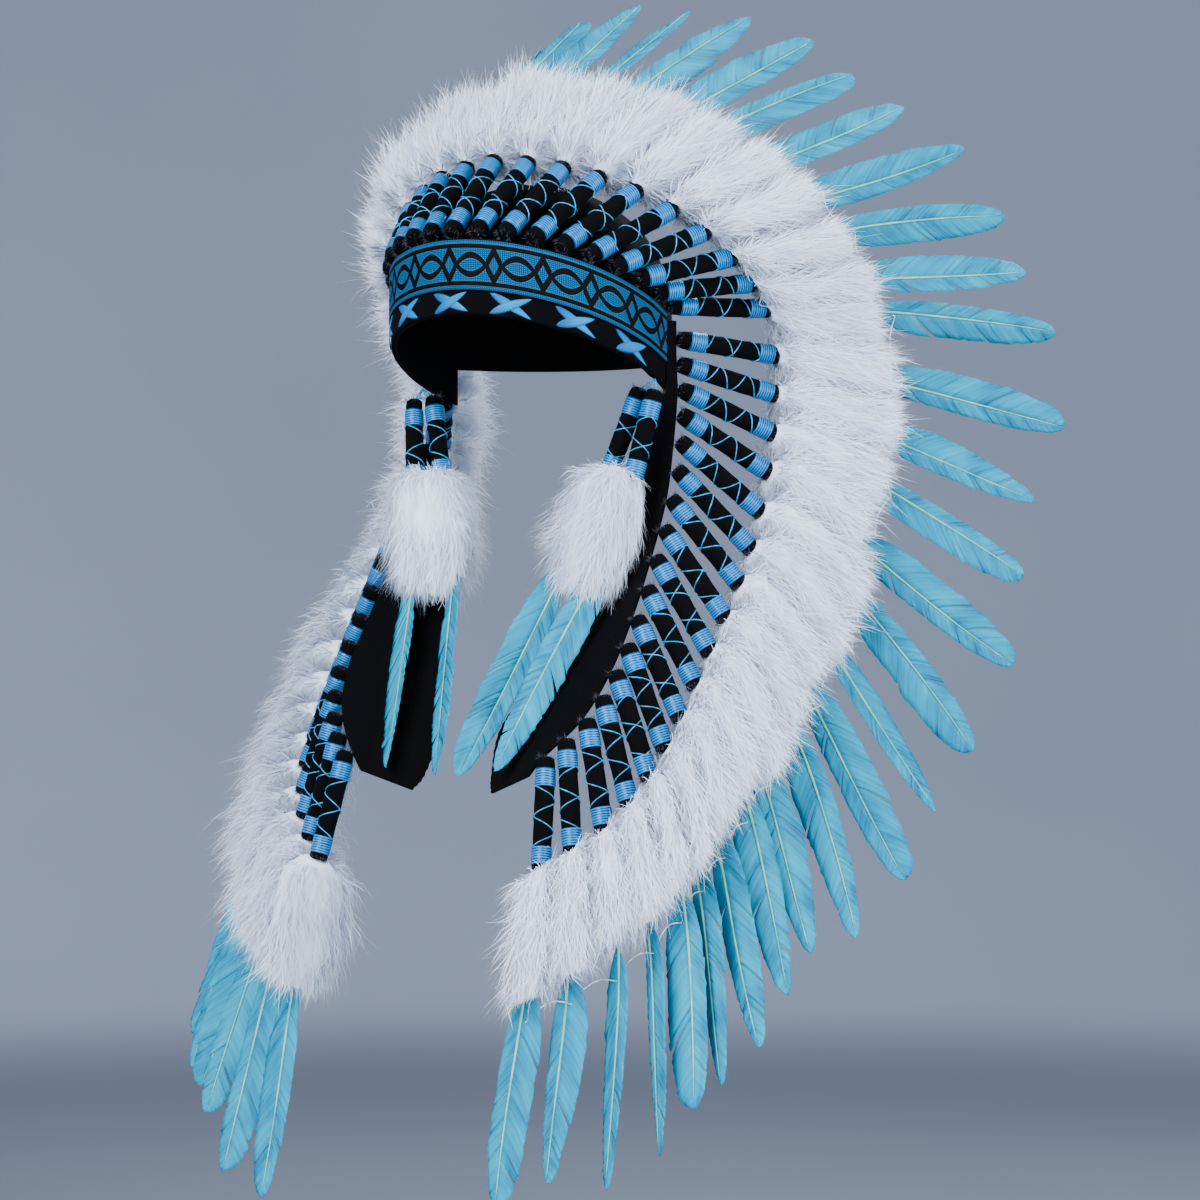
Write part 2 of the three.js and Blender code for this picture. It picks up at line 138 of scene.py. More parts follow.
# along, thickness and width of a tuft
TUFT_SHAPE = np.array((
    (0.0, 0.46, 0.72),
    (0.05, 0.74, 0.94),
    (0.13, 0.94, 1.0),
    (0.45, 1.0, 1.0),
    (0.78, 0.88, 1.0),
    (1.0, 0.45, 0.8),
))
# along, thickness and width alike, of a drop's tuft
DROP_SHAPE = np.array((
    (0.0, 0.46),
    (0.06, 0.78),
    (0.2, 1.0),
    (0.5, 1.06),
    (0.78, 0.9),
    (0.92, 0.66),
    (1.0, 0.42),
))
# along and width of a feather's outline
VANE_OUTLINE = np.array((
    (-0.12, 0.5),
    (0.0, 0.62),
    (0.12, 0.88),
    (0.26, 1.0),
    (0.55, 1.03),
    (0.75, 0.97),
    (0.87, 0.8),
    (0.94, 0.58),
    (0.98, 0.34),
    (1.0, 0.08),
))
QUILL_HIDDEN = 14.0  # how much of a feather stands inside its tuft
LOCKS = 90  # locks of hair on a tuft
TUFT_SQUARENESS = 0.62  # 1 for an oval section, less for a squarer one
PLUME_HAIRS = (17, 36)  # shortest and longest hair on a plume
FUR_CHANGE = (-11, 5)  # of a tuft's length, from plume to plume
FUR_FULLNESS = (0.84, 1.06)
BROW_PLUMES = 8  # from the middle, over which the fur gets shorter and thinner
BROW_SHORTER = 9
BROW_THINNER = 0.28
DROP_HAIRS = (13, 28)
PLUME_SPLITS = (2, 5)  # fewest splits on each side of a feather, and one past the most
DROP_SPLITS = (7, 12)
FUZZ_RADIUS = (5.2, 6.1)  # of the pile on a sleeve's inner and outer end
SLEEVE_SIDES = 18
ROUND_STEPS = 96  # round the cap and the cove
# start from the knot and heading of each sleeve of a drop on the wearer's left
DROP_SLEEVES = (
    ((-10.5, -2, -6), (-0.28, -0.2, -0.94)),
    ((3.5, -5.4, -8), (-0.16, -0.2, -0.97)),
)
DROP_TUFT_TOP = (-21, -20, -60)
DROP_TUFT_HEADING = (-0.16, -0.15, -1.0)
DROP_TUFT_ACROSS = (0.93, -0.36, 0.0)
DROP_HAIR_COUNT = 2.8  # to those on a plume's tuft, as their width
DROP_HAIR_WIDTH = 0.75
# start from the tuft's end, heading, share of the width and leading side of its feathers
DROP_FEATHER_ACROSS = (0.85, 0.52, 0.0)
DROP_FEATHERS = (
    ((-23, -7, 0), (-0.2, -0.42, -0.82), 0.86, 1),
    ((14, -8, 0), (-0.22, -0.48, -0.82), 0.84, -1),
)
HANGING_RADIUS = 0.55  # of the threads that the drops hang from
HANGING_SAG = 1.2
LINK_RADIUS = 0.45
LINK_KNOT = 13.0  # of the linking thread, past the end of the fur
LINK_SAG = 6.0
PLUME_SEED = 1000
DROP_SEED = 77
STRAW_SEED = 5
STITCHES_PER_SIDE = 3
STRAW_HALF_RUN = (12.5, 14.5)
STRAW_HALF_RISE = (6.2, 6.9)
STRAW_HALF_WIDTH = (2.9, 3.5)
BARB_THICKNESS = 0.22
STRAW_THICKNESS = 0.32
WAVE_PERIOD = 0.314  # of the wave texture at a scale of 1

# The ribbon's figures, from its middle line
LENS_SHARE = 0.66
LENS_RISE = 6.4
DIAMOND_RISE = 9.8
LINE_INSET = 4.6
LINE_HALF_WIDTH = 1.5
SELVEDGE = 0.7
RIM_WIDTH = 0.35
CORD_PITCH = 1.3

# The studio, in metres: the camera's shift to its right and up, and what the lamps face
CAMERA_RIGHT = 0.046
CAMERA_UP = -0.152
LAMP_TARGET = (0, 0, -0.1)
# to the camera's right, away from it, height, size and power of each lamp
LAMPS = {
    "softbox_key": (-1.0, -1.5, 1.1, 1.4, 88),
    "softbox_fill": (1.5, -1.1, 0.2, 1.4, 50),
    "softbox_low": (-0.5, -1.6, -0.3, 0.9, 16),
    "softbox_back": (1.1, 1.4, 1.5, 1.2, 60),
}
COVE_RADIUS = 4.2
COVE_CURVE = 1.2
COVE_TOP = 3.4

FUR, UNDERCOAT, VANE, SHAFT, CLOTH, THREAD, PILE, LOOSE = range(8)  # materials of a plume


# ---- Colours and shader nodes


def linear(text):
    """A colour given as sRGB hex, in the linear values that shaders use"""
    channels = [int(text[i:i + 2], 16) / 255 for i in (1, 3, 5)]
    low = [c / 12.92 if c <= 0.04045 else ((c + 0.055) / 1.055) ** 2.4 for c in channels]
    return (*low, 1.0)


def darker(text, share):
    """A share of a hex colour's light, in linear values"""
    return tuple(share * c for c in linear(text)[:3]) + (1.0,)


def add(tree, kind, inputs=None, **settings):
    """Add a node with its settings; inputs are values, or the nodes or outputs that feed them"""
    node = tree.nodes.new(kind)
    for name, value in settings.items():
        setattr(node, name, value)
    for key, value in (inputs or {}).items():
        if isinstance(value, bpy.types.Node):
            value = value.outputs[0]
        if isinstance(value, bpy.types.NodeSocket):
            tree.links.new(value, node.inputs[key])
        else:
            node.inputs[key].default_value = value
    return node


def tint(tree, source, *stops):
    """Colours along a value; a stop is a place and a colour, as hex or in linear values"""
    ramp = add(tree, "ShaderNodeValToRGB", {0: source})
    marks = ramp.color_ramp.elements
    while len(marks) < len(stops):
        marks.new(0.5)
    for mark, (place, colour) in zip(marks, stops):
        mark.position = place
        mark.color = linear(colour) if isinstance(colour, str) else colour
    return ramp


def surface_noise(tree, scale, **inputs):
    """Noise over the surface, with a scale for each of its two coordinates"""
    spot = add(tree, "ShaderNodeMapping",
               {0: add(tree, "ShaderNodeUVMap"), "Scale": (*scale, 1.0)})
    return add(tree, "ShaderNodeTexNoise", {"Vector": spot, "Scale": 1.0, **inputs})


def body_noise(tree, scale, **inputs):
    """Noise through the whole body, in turns per metre"""
    where = add(tree, "ShaderNodeTexCoord").outputs["Object"]
    return add(tree, "ShaderNodeTexNoise", {"Vector": where, "Scale": scale, **inputs})


def ridges(tree, scale, way, inputs):
    """Rounded ridges over the surface, across one of its coordinates"""
    return add(tree, "ShaderNodeTexWave",
               {"Vector": add(tree, "ShaderNodeUVMap"), "Scale": scale, **inputs},
               bands_direction=way).outputs[1]


def mixed(tree, share, first, second):
    """Two values mixed by a share"""
    return add(tree, "ShaderNodeMix", {0: share, 2: first, 3: second})


def blended(tree, share, first, second, way="MIX"):
    """Two colours blended by a share"""
    return add(tree, "ShaderNodeMix", {0: share, 6: first, 7: second},
               data_type="RGBA", blend_type=way).outputs[2]


def surface(name, **inputs):
    """A new material whose shader has these values; returns it and its node tree"""
    material = bpy.data.materials.new(name)
    material.use_nodes = True
    shader = material.node_tree.nodes["Principled BSDF"]
    for key, value in inputs.items():
        shader.inputs[key.replace("_", " ").title().replace("Ior", "IOR")].default_value = value
    return material, material.node_tree


def coat(material, colour, relief=None, strength=0.0, depth=0.0):
    """Feed a material's shader a colour and a relief, whose depth is in metres"""
    tree = material.node_tree
    shader = tree.nodes["Principled BSDF"]
    if isinstance(colour, bpy.types.Node):
        colour = colour.outputs[0]
    tree.links.new(colour, shader.inputs["Base Color"])
    if relief is not None:
        bump = add(tree, "ShaderNodeBump",
                   {"Strength": strength, "Distance": depth, "Height": relief})
        tree.links.new(bump.outputs[0], shader.inputs["Normal"])
    return material


def fur_pile(colour):
    # Acrylic long pile, brushed: near-white fibres that differ a little, painted darker towards
    # the root as painted shade inside the mass, and a little lighter at the tip as painted light
    material, tree = surface("fur_acrylic_brushed", roughness=0.75, sheen_weight=0.35)
    spot = add(tree, "ShaderNodeSeparateXYZ", {0: add(tree, "ShaderNodeUVMap")})
    # Painted shade at the root and painted light at the tip, along each hair
    along = tint(tree, spot.outputs[1], (0.0, "#D6DEEE"), (0.4, colour), (1.0, "#FAFCFF"))
    strand = tint(tree, spot.outputs[0], (0.0, "#E8EDF8"), (0.5, "#F8FAFF"), (1.0, "#FFFFFF"))
    return coat(material, blended(tree, 1.0, along, strand, "MULTIPLY"))


def fur_undercoat(colour):
    # The felted inner mass of the same pile: soft streaks along the hair
    material, tree = surface("fur_acrylic_undercoat", roughness=0.9, sheen_weight=0.35)
    streaks = surface_noise(tree, (26.0, 0.05), Detail=3.0)
    return coat(material, tint(tree, streaks, (0.3, "#DFE4EE"), (0.65, colour)),
                streaks, 0.6, 0.0012)


def feather_vane(deep, middle, light):
    # Dyed goose quill feather: fine parallel barbs that part in places, paler where they lie open
    # and darker in the grooves between barbs and where they part, which is painted shade.
    # Barbs are drawn 0.9 mm apart, coarser than real ones, so that they show
    material, tree = surface("feather_goose_dyed", roughness=0.65, specular_ior_level=0.06)
    clouds = surface_noise(tree, (1.1, 0.035), Detail=2.0)
    locks = surface_noise(tree, (0.8, 0.32), Detail=4.0, Roughness=0.62)
    barbs = ridges(tree, 0.35, "Y", {"Distortion": 0.6, "Detail": 1.0, "Detail Scale": 0.4})
    colour = tint(tree, mixed(tree, 0.42, clouds, locks),
                  (0.34, deep), (0.49, middle), (0.64, light))
    # Painted shade: darker lines in the grooves between the barbs
    lines = tint(tree, barbs, (0.0, "#E2F0F4"), (0.4, "#FFFFFF"))
    # Painted shade: darker where the locks part, in the dips of the relief
    parting_shade = tint(tree, locks, (0.3, "#93BBC8"), (0.36, "#FFFFFF"))
    lined = blended(tree, 0.7, colour, lines, "MULTIPLY")
    return coat(material, blended(tree, 1.0, lined, parting_shade, "MULTIPLY"),
                mixed(tree, 0.5, barbs, locks), 0.45, 0.0006)


def feather_shaft(colour):
    # Keratin quill, dyed with the vane but paler: smooth and slightly waxy
    material, tree = surface("quill_keratin_dyed", roughness=0.35)
    return coat(material, tint(tree, body_noise(tree, 60.0), (0.35, "#4FA39A"), (0.65, colour)))


def black_cloth(name, colour, lint, scale):
    # Needle-punched felt or fleece: matted fibres about 0.3 mm thick with pale lint
    material, tree = surface(name, roughness=0.95, specular_ior_level=0.08)
    fibres = body_noise(tree, scale, Detail=6.0, Roughness=0.75)
    wear = body_noise(tree, 22.0, Detail=3.0)
    tone = tint(tree, mixed(tree, 0.3, fibres, wear),
                (0.35, "#020203"), (0.6, colour), (0.78, lint))
    return coat(material, tone, fibres, 0.7, 0.0006)


def satin_thread(name, deep, bright, pitch, shine):
    # Rayon embroidery thread, wound side by side: a bright sheen across the windings from the
    # shader, and a deeper colour between them that is painted shade in the grooves.
    # Surface coordinates along it are in millimetres
    material, tree = surface(name, roughness=0.27, specular_ior_level=shine,
                             specular_tint=linear("#A6DEFF"))
    windings = ridges(tree, WAVE_PERIOD / pitch, "Y",
                      {"Distortion": 0.5, "Detail": 1.0, "Detail Scale": 2.0})
    grain = mixed(tree, 0.5, windings, surface_noise(tree, (5.0, 1.6), Detail=3.0))
    # The deeper colour goes where the relief dips, mostly between the windings: painted shade
    return coat(material, tint(tree, grain, (0.26, deep), (0.62, bright)), grain, 0.8, 0.0004)


def plain_strand(name, colour, roughness):
    # Spun thread or short pile: one colour that differs a little from place to place
    material, tree = surface(name, roughness=roughness)
    return coat(material, tint(tree, body_noise(tree, 300.0),
                               (0.4, darker(colour, 0.45)), (0.65, colour)))


def jacquard(settings):
    # Jacquard ribbon, woven: a blue satin ground with fine cords and raised black figures,
    # lenses that alternate with diamonds between two black lines. Surface coordinates are in
    # millimetres
    material, tree = surface("ribbon_jacquard_woven", roughness=0.7, specular_ior_level=0.06)
    spot = add(tree, "ShaderNodeSeparateXYZ", {0: add(tree, "ShaderNodeUVMap")})
    half_pitch = settings.figure_pitch / MM / 2
    lens = half_pitch * LENS_SHARE
    stroke = settings.stroke / MM / 2

    def number(operation, *values):
        return add(tree, "ShaderNodeMath", dict(enumerate(values)), operation=operation)

    across = number("PINGPONG", spot.outputs[0], half_pitch)
    height = number("ABSOLUTE", number("SUBTRACT", spot.outputs[1], RIBBON_HEIGHT / 2))
    share = number("DIVIDE", across, lens)
    arc = number("MULTIPLY", number("SUBTRACT", 1.0, number("MULTIPLY", share, share)), LENS_RISE)
    wedge = number("MULTIPLY", number("SUBTRACT", across, lens),
                   DIAMOND_RISE / (half_pitch - lens))
    figure = number("ABSOLUTE", number("SUBTRACT", height, number("MAXIMUM", arc, wedge)))
    steep = number("MULTIPLY_ADD", number("GREATER_THAN", across, lens), 0.75 * stroke, stroke)
    edge = number("SUBTRACT", figure, steep)
    border = number("SUBTRACT", number("ABSOLUTE", number(
        "SUBTRACT", height, RIBBON_HEIGHT / 2 - LINE_INSET)), LINE_HALF_WIDTH)
    nearest = number("MINIMUM", edge, border)
    selvedge = number("GREATER_THAN", height, RIBBON_HEIGHT / 2 - SELVEDGE)
    black = number("MAXIMUM", number("LESS_THAN", nearest, 0.0), selvedge)
    rim = number("LESS_THAN", nearest, RIM_WIDTH)

    cords = [ridges(tree, WAVE_PERIOD / CORD_PITCH, way, {"Distortion": 0.6, "Detail": 1.0})
             for way in ("X", "Y")]
    weave = surface_noise(tree, (1.6, 3.2), Detail=3.0, Roughness=0.7)
    grain = mixed(tree, 0.45, number("MULTIPLY", *cords), weave)
    # Painted shade: the blue ground and the black figures are darker between the cords, where the
    # relief dips
    ground = tint(tree, grain, (0.22, settings.ground_cord_shade_hex), (0.62, settings.ground_hex))
    ink = tint(tree, grain, (0.25, "#010102"), (0.7, "#101014"))
    rimmed = blended(tree, rim, ground, linear("#2C6478"))
    relief = number("MULTIPLY_ADD", black, 0.7, number("MULTIPLY", grain, 0.3))
    return coat(material, blended(tree, black, rimmed, ink), relief, 0.9, 0.0005)


def painted_floor(colour, floor_height):
    # Studio cove, painted matt: faint roller marks, and the floor painted down to half the wall's
    # brightness as painted shade on the low floor
    material, tree = surface("studio_cove_painted", roughness=0.85)
    tone = tint(tree, body_noise(tree, 1.3, Detail=2.0),
                (0.3, darker(colour, 0.94)), (0.7, colour))
    where = add(tree, "ShaderNodeTexCoord").outputs["Object"]
    # Painted shade: the floor darkens to half, blending into the wall over 0.1 m
    height = add(tree, "ShaderNodeMapRange",
                 {0: add(tree, "ShaderNodeSeparateXYZ", {0: where}).outputs[2],
                  1: floor_height, 2: floor_height + 0.1, 3: 0.5, 4: 1.0},
                 interpolation_type="SMOOTHSTEP")
    return coat(material, add(tree, "ShaderNodeVectorMath", {0: tone, 1: height},
                              operation="MULTIPLY"))


# ---- The frame's own lines, in millimetres


def unit(vectors):
    return vectors / np.linalg.norm(vectors, axis=-1, keepdims=True)


def joined(*parts):
    """Numbers or arrays side by side along a new last axis"""
    return np.stack(np.broadcast_arrays(*parts), -1)


def read_table(table, at, column=1):
    return np.interp(at, table[:, 0], table[:, column])


def table_curve(rows):
    """A smooth curve through the rows of a table, read at any value of its first column"""
    table = np.array(rows, float)
    spots, values = table[:, 0], table[:, 1:]

    def at(spot):
        if not spots[0] < spot < spots[-1]:
            return values[0] if spot <= spots[0] else values[-1]
        high = int(np.searchsorted(spots, spot, side="right"))
        low = high - 1
        before = low - 1 if low else high
        after = high + 1 if high + 1 < len(spots) else low
        start, end = spots[low], spots[high]
        half = (end - start) / 2
        lead, trail = half / (start - spots[before]), half / (spots[after] - end)
        p = (spot - start) / (end - start)
        square, cube = p * p, p * p * p
        weights = (-lead * cube + 2 * lead * square - lead * p,
                   (1 + lead) * cube + (-1.5 - 2 * lead) * square + (-0.5 + lead) * p + 1,
                   (-1 - trail) * cube + (1.5 + trail) * square + 0.5 * p,
                   trail * cube - trail * square)
        return sum(weight * values[row]
                   for weight, row in zip(weights, (before, low, high, after)))

    return at


direction_at = table_curve(DIRECTION_TABLE)
trailer_at = table_curve(TRAILER_TABLE)


def quill_direction(fan, sweep):
    fan, sweep = math.radians(fan), math.radians(sweep)
    level = math.cos(sweep)
    return np.array((level * math.sin(fan), math.sin(sweep), level * math.cos(fan)))


def band_point(angle, radius, height):
    """Points on the band: angle from the brow, height above the band's lower edge"""
    turn = np.radians(angle)
    return joined(radius * np.sin(turn), -radius * np.cos(turn),
                  BROW_RISE * np.cos(turn) + height)


def trailer_edges(plume):
    out, back, down, width, turn, hang = trailer_at(plume)
    outer = np.array((out * BAND_RADIUS, back * BAND_RADIUS, -down * TRAILER_DROP))
    turn = math.radians(turn)
    inner = outer + np.array((-math.cos(turn), -math.sin(turn), 0)) * width * FLAP_WIDTH
    inner[2] -= hang * TRAILER_DROP
    return outer, inner


def plume_seat(plume):
    """Root, direction and tip direction of a plume on the wearer's left"""
    fan, sweep, tip_fan, tip_sweep, _ = direction_at(plume)
    direction = quill_direction(fan, sweep)
    tip = quill_direction(tip_fan, tip_sweep)
    flat = math.cos(math.pi / 6)
    if plume <= BAND_PLUMES:
        lean = ROOT_LEAN * SLEEVE_STUB * (1 - max(direction[2], 0))
        lift = SEAM + SLEEVE_STUB * flat * math.sqrt(1 - direction[2] ** 2)
        radius = BAND_RADIUS - FELT_WALL / 2 + lean
        return band_point(plume * PLUME_PITCH, radius, BAND_HEIGHT + lift), direction, tip
    outer, inner = trailer_edges(plume)
    outward = unit(outer - inner)
    facing = direction @ outward
    slant = math.sqrt(1 - facing ** 2)
    recess = (outer - trailer_edges(plume + 0.3)[0]) @ outward
    reach = max(SLEEVE_STUB * slant, SLEEVE_RADIUS * slant * flat - STUB_LENGTH * facing - recess)
    return outer + outward * (SEAM + reach), direction, tip


SEATS = {index: plume_seat(index) for index in range(PLUMES_PER_SIDE + 1)}
SEATS.update({-index: tuple(vector * (-1, 1, 1) for vector in seat)
              for index, seat in SEATS.items() if index})


def quill_line(index, distance):
    """Points on a quill and its headings there, at distances from the sleeve's inner end"""
    root, direction, tip = SEATS[index]
    past = np.maximum(distance - SLEEVE_LENGTH, 0.0)[:, None]
    bend = np.minimum(past, BEND_LENGTH)
    straight = np.minimum(distance, SLEEVE_LENGTH)[:, None]
    turn = tip - direction
    points = (root + direction * (straight + bend) + turn * bend ** 2 / (2 * BEND_LENGTH)
              + tip * (past - bend))
    return points, unit(direction + turn * bend / BEND_LENGTH)


def tuft_side(index, side, distance):
    """The line between a tuft and its neighbour: its middle, the way across and the normal"""
    free = abs(index + side) > PLUMES_PER_SIDE
    low = index if side > 0 else index - 1
    if free:
        low -= side
    low_points, low_heading = quill_line(low, distance)
    high_points, high_heading = quill_line(low + 1, distance)
    across = unit(high_points - low_points)
    normal = unit(np.cross(across, unit(low_heading + high_heading)))
    middle = (low_points + high_points) / 2
    if free:
        middle = quill_line(index, distance)[0] + across * side * FUR_END_WIDTH
    return middle - across * side * FUR_GAP / 2, across, normal


def plume_frame(index, distance):
    """Point, heading, front normal and way across on a plume, and its room on each side"""
    distance = np.asarray(distance, float)
    after = tuft_side(index, 1, distance)
    before = tuft_side(index, -1, distance)
    across = unit(after[1] + before[1])
    point, heading = quill_line(index, distance)
    normal = unit(np.cross(across, heading))
    return point, heading, normal, np.cross(heading, normal), after[0], before[0]


# ---- Meshes from arrays, in millimetres


class Draft:
    """Points, faces, surface coordinates and material numbers that become one mesh"""

    def __init__(self):
        self.points, self.normals, self.faces, self.count = [], [], [], 0

    def put(self, points, faces, material, normals=None):
        """faces is a list of (corners, uv): point numbers by face, and a pair for each corner.
        Points without normals of their own are given the mesh's"""
        for corners, uv in faces:
            self.faces.append((corners + self.count, uv, material))
        self.points.append(points)
        self.normals.append(np.zeros_like(points) if normals is None else normals)
        self.count += len(points)

    def mirror(self):
        self.points, self.normals = ([vectors * (-1, 1, 1) for vectors in group]
                                     for group in (self.points, self.normals))
        self.faces = [(c[:, ::-1], uv[:, ::-1], material) for c, uv, material in self.faces]

    def object(self, name, materials):
        mesh = bpy.data.meshes.new(name)
        points = np.concatenate(self.points) * MM
        loops, sizes, numbers, uv = (np.concatenate(group) for group in zip(*(
            (corners.ravel(), np.full(len(corners), corners.shape[1]),
             np.full(len(corners), material), uv.ravel())
            for corners, uv, material in self.faces)))
        for part, count, name_of, values in (
                (mesh.vertices, len(points), "co", points.ravel()),
                (mesh.loops, len(loops), "vertex_index", loops.astype(np.int32)),
                (mesh.polygons, len(sizes), "loop_start",
                 (np.cumsum(sizes) - sizes).astype(np.int32))):
            part.add(count)
            part.foreach_set(name_of, values)
        mesh.polygons.foreach_set("material_index", numbers.astype(np.int32))
        mesh.update(calc_edges=True)
        mesh.uv_layers.new(name="surface").data.foreach_set("uv", uv)
        mesh.shade_smooth()
        mesh.validate()
        normals = np.concatenate(self.normals)
        if normals.any():
            mesh.normals_split_custom_set_from_vertices(normals.tolist())
        return finished(name, mesh, materials)


def finished(name, mesh, materials):
    """An object at the origin for a mesh, with its materials"""
    for material in materials:
        mesh.materials.append(material)
    piece = bpy.data.objects.new(name, mesh)
    bpy.context.scene.collection.objects.link(piece)
    return piece


def grid(rows, columns, closed=False):
    """Faces of a grid of points, row by row, and each corner's row and column"""
    row = np.arange(rows - 1)[:, None]
    column = np.arange(columns if closed else columns - 1)[None, :]
    corner_rows, corner_columns = (
        np.broadcast_to(corners, (rows - 1, column.size, 4)).reshape(-1, 4)
        for corners in (joined(row, row, row + 1, row + 1),
                        joined(column, column + 1, column + 1, column)))
    return corner_rows * columns + corner_columns % columns, corner_rows, corner_columns


def skin(rings, turned_in=False):
    """A closed body through rings of equally many points; v counts the length in millimetres"""
    rows, columns = rings.shape[:2]
    points = np.concatenate((rings.reshape(-1, 3), rings[[0, -1]].mean(axis=1)))
    length = np.concatenate(
        ([0], np.cumsum(np.linalg.norm(np.diff(rings.mean(axis=1), axis=0), axis=1))))
    corners, row, column = grid(rows, columns, closed=True)
    faces = [(corners, joined(column / columns, length[row]))]
    ring = np.arange(columns)
    after = (ring + 1) % columns
    for end, pair in ((0, (after, ring)), (rows - 1, (ring, after))):
        middle = rows * columns + (end > 0)
        fan = joined(pair[0] + end * columns, pair[1] + end * columns, middle)
        faces.append((fan, joined(fan % columns / columns, length[end])))
    if turned_in:
        faces = [(corners[:, ::-1], uv[:, ::-1]) for corners, uv in faces]
    return points, faces


def tube(line, radius, sides, front, across):
    """A round body along a line; front turned a quarter towards across looks back down it"""
    angle = np.arange(sides) / sides * math.tau
    ring = (front[:, None] * np.cos(angle)[None, :, None]
            + across[:, None] * np.sin(angle)[None, :, None])
    return skin(line[:, None] + ring * np.reshape(radius, (-1, 1, 1)))


def tube_along(line, radius, sides):
    """A round body along a free line"""
    heading = unit(np.gradient(line, axis=0))
    guide = np.array((0.31, 0.22, 0.92))
    across = unit(np.cross(heading, guide))
    return tube(line, radius, sides, np.cross(across, heading), across)


def slab(points, normals, half, uv, turned_in=False):
    """A thin closed sheet on a grid of points, with a front, a back and an edge all round"""
    rows, columns = points.shape[:2]
    total = rows * columns
    both = np.concatenate(((points + normals * half).reshape(-1, 3),
                           (points - normals * half).reshape(-1, 3)))
    spots = np.tile(uv.reshape(-1, 2), (2, 1))
    front = grid(rows, columns)[0]
    number = np.arange(total).reshape(rows, columns)
    edge = np.concatenate((number[0], number[1:, -1], number[-1, -2::-1], number[-2:0:-1, 0]))
    following = np.roll(edge, -1)
    rim = joined(edge + total, following + total, following, edge)
    faces = [front, front[:, ::-1] + total, rim]
    if turned_in:
        faces = [corners[:, ::-1] for corners in faces]
    return both, [(corners, spots[corners]) for corners in faces]


def spun(profile, steps, weld):
    """A form that a line of (radius, height) makes when it turns about Z"""
    form = bmesh.new()
    line = [form.verts.new((radius, 0, height)) for radius, height in profile]
    edges = [form.edges.new(pair) for pair in zip(line, line[1:])]
    bmesh.ops.spin(form, geom=line + edges, cent=(0, 0, 0), axis=(0, 0, 1), dvec=(0, 0, 0),
                   angle=math.tau, steps=steps, use_merge=True, use_duplicate=False)
    bmesh.ops.remove_doubles(form, verts=form.verts, dist=weld)
    return form


def turned(profile, steps):
    """Points and faces of a turned profile; u goes round and v is the height"""
    form = spun(profile, steps, 0.001)
    bmesh.ops.recalc_face_normals(form, faces=form.faces)
    form.verts.index_update()
    points = np.array([vertex.co[:] for vertex in form.verts])
    faces = []
    for size in (3, 4):
        corners = [[v.index for v in face.verts] for face in form.faces
                   if len(face.verts) == size]
        if corners:
            corners = np.array(corners)
            round_share = np.arctan2(points[corners, 1], points[corners, 0]) / math.tau
            round_share += np.round(round_share[:, :1] - round_share)
            faces.append((corners, joined(round_share, points[corners, 2])))
    form.free()
    return points, faces


def face_up(form, rank):
    """Make a surface's faces agree, so that the lowest by rank looks up"""
    bmesh.ops.recalc_face_normals(form, faces=form.faces)
    if min(form.faces, key=rank).normal.z < 0:
        bmesh.ops.reverse_faces(form, faces=form.faces)


def object_of(form, name, material):
    """An object for a form, which is freed"""
    mesh = bpy.data.meshes.new(name)
    form.to_mesh(mesh)
    form.free()
    mesh.shade_smooth()
    return finished(name, mesh, [material])


# ---- Plume parts


def placed(points, root, front, across, heading, roll=0.0):
    """Points of an upright part, stood on a root along a heading"""
    x = points[:, :1] * math.cos(roll) - points[:, 1:2] * math.sin(roll)
    y = points[:, :1] * math.sin(roll) + points[:, 1:2] * math.cos(roll)
    return root + front * x + across * y + heading * points[:, 2:]


def sleeve_shapes(length, settings):
    """Cloth roll, two thread windings and two crossing threads of an upright sleeve"""
    radius = SLEEVE_RADIUS - 0.3
    profile = [(0, 0.6), (3.6, 0), (5.4, 1.2), (radius - 0.2, 4.5)]
    profile += [(radius, height) for height in np.linspace(8, length - 1.5, 12)]
    profile += [(radius - 0.5, length - 0.2), (radius - 2, length), (0, length - 0.4)]
    cloth = turned(profile, SLEEVE_SIDES)
    windings = []
    width = settings.winding_width / MM
    centres = (14.0, length - 10.5)
    for centre in centres:
        low, high = centre - width / 2, centre + width / 2
        outline = [(radius - 0.4, low), (radius + 0.25, low + 0.1), (radius + 0.5, low + 0.7)]
        outline += [(radius + 0.45 + 0.12 * (step % 2), low + 0.7 + step * (width - 1.4) / 4)
                    for step in range(1, 4)]
        outline += [(radius + 0.5, high - 0.7), (radius + 0.25, high - 0.1), (radius - 0.4, high)]
        windings.append(turned(outline + [outline[0]], SLEEVE_SIDES))
    threads = []
    start, end = centres[0] + width / 2 - 1, centres[1] - width / 2 + 1
    turns = round((end - start) / settings.cross_pitch * MM * 2) / 2
    share = np.linspace(0, 1, int(turns * 14) + 1)
    for hand in (1, -1):
        angle = hand * share * turns * math.tau
        out = joined(np.cos(angle), np.sin(angle), 0.0)
        line = out * (radius + settings.cross_thread / MM * 0.4)
        line[:, 2] = start + (end - start) * share
        heading = unit(np.gradient(line, axis=0))
        threads.append(tube(line, settings.cross_thread / MM / 2, 4, out,
                            np.cross(heading, out)))
    return cloth, windings, threads


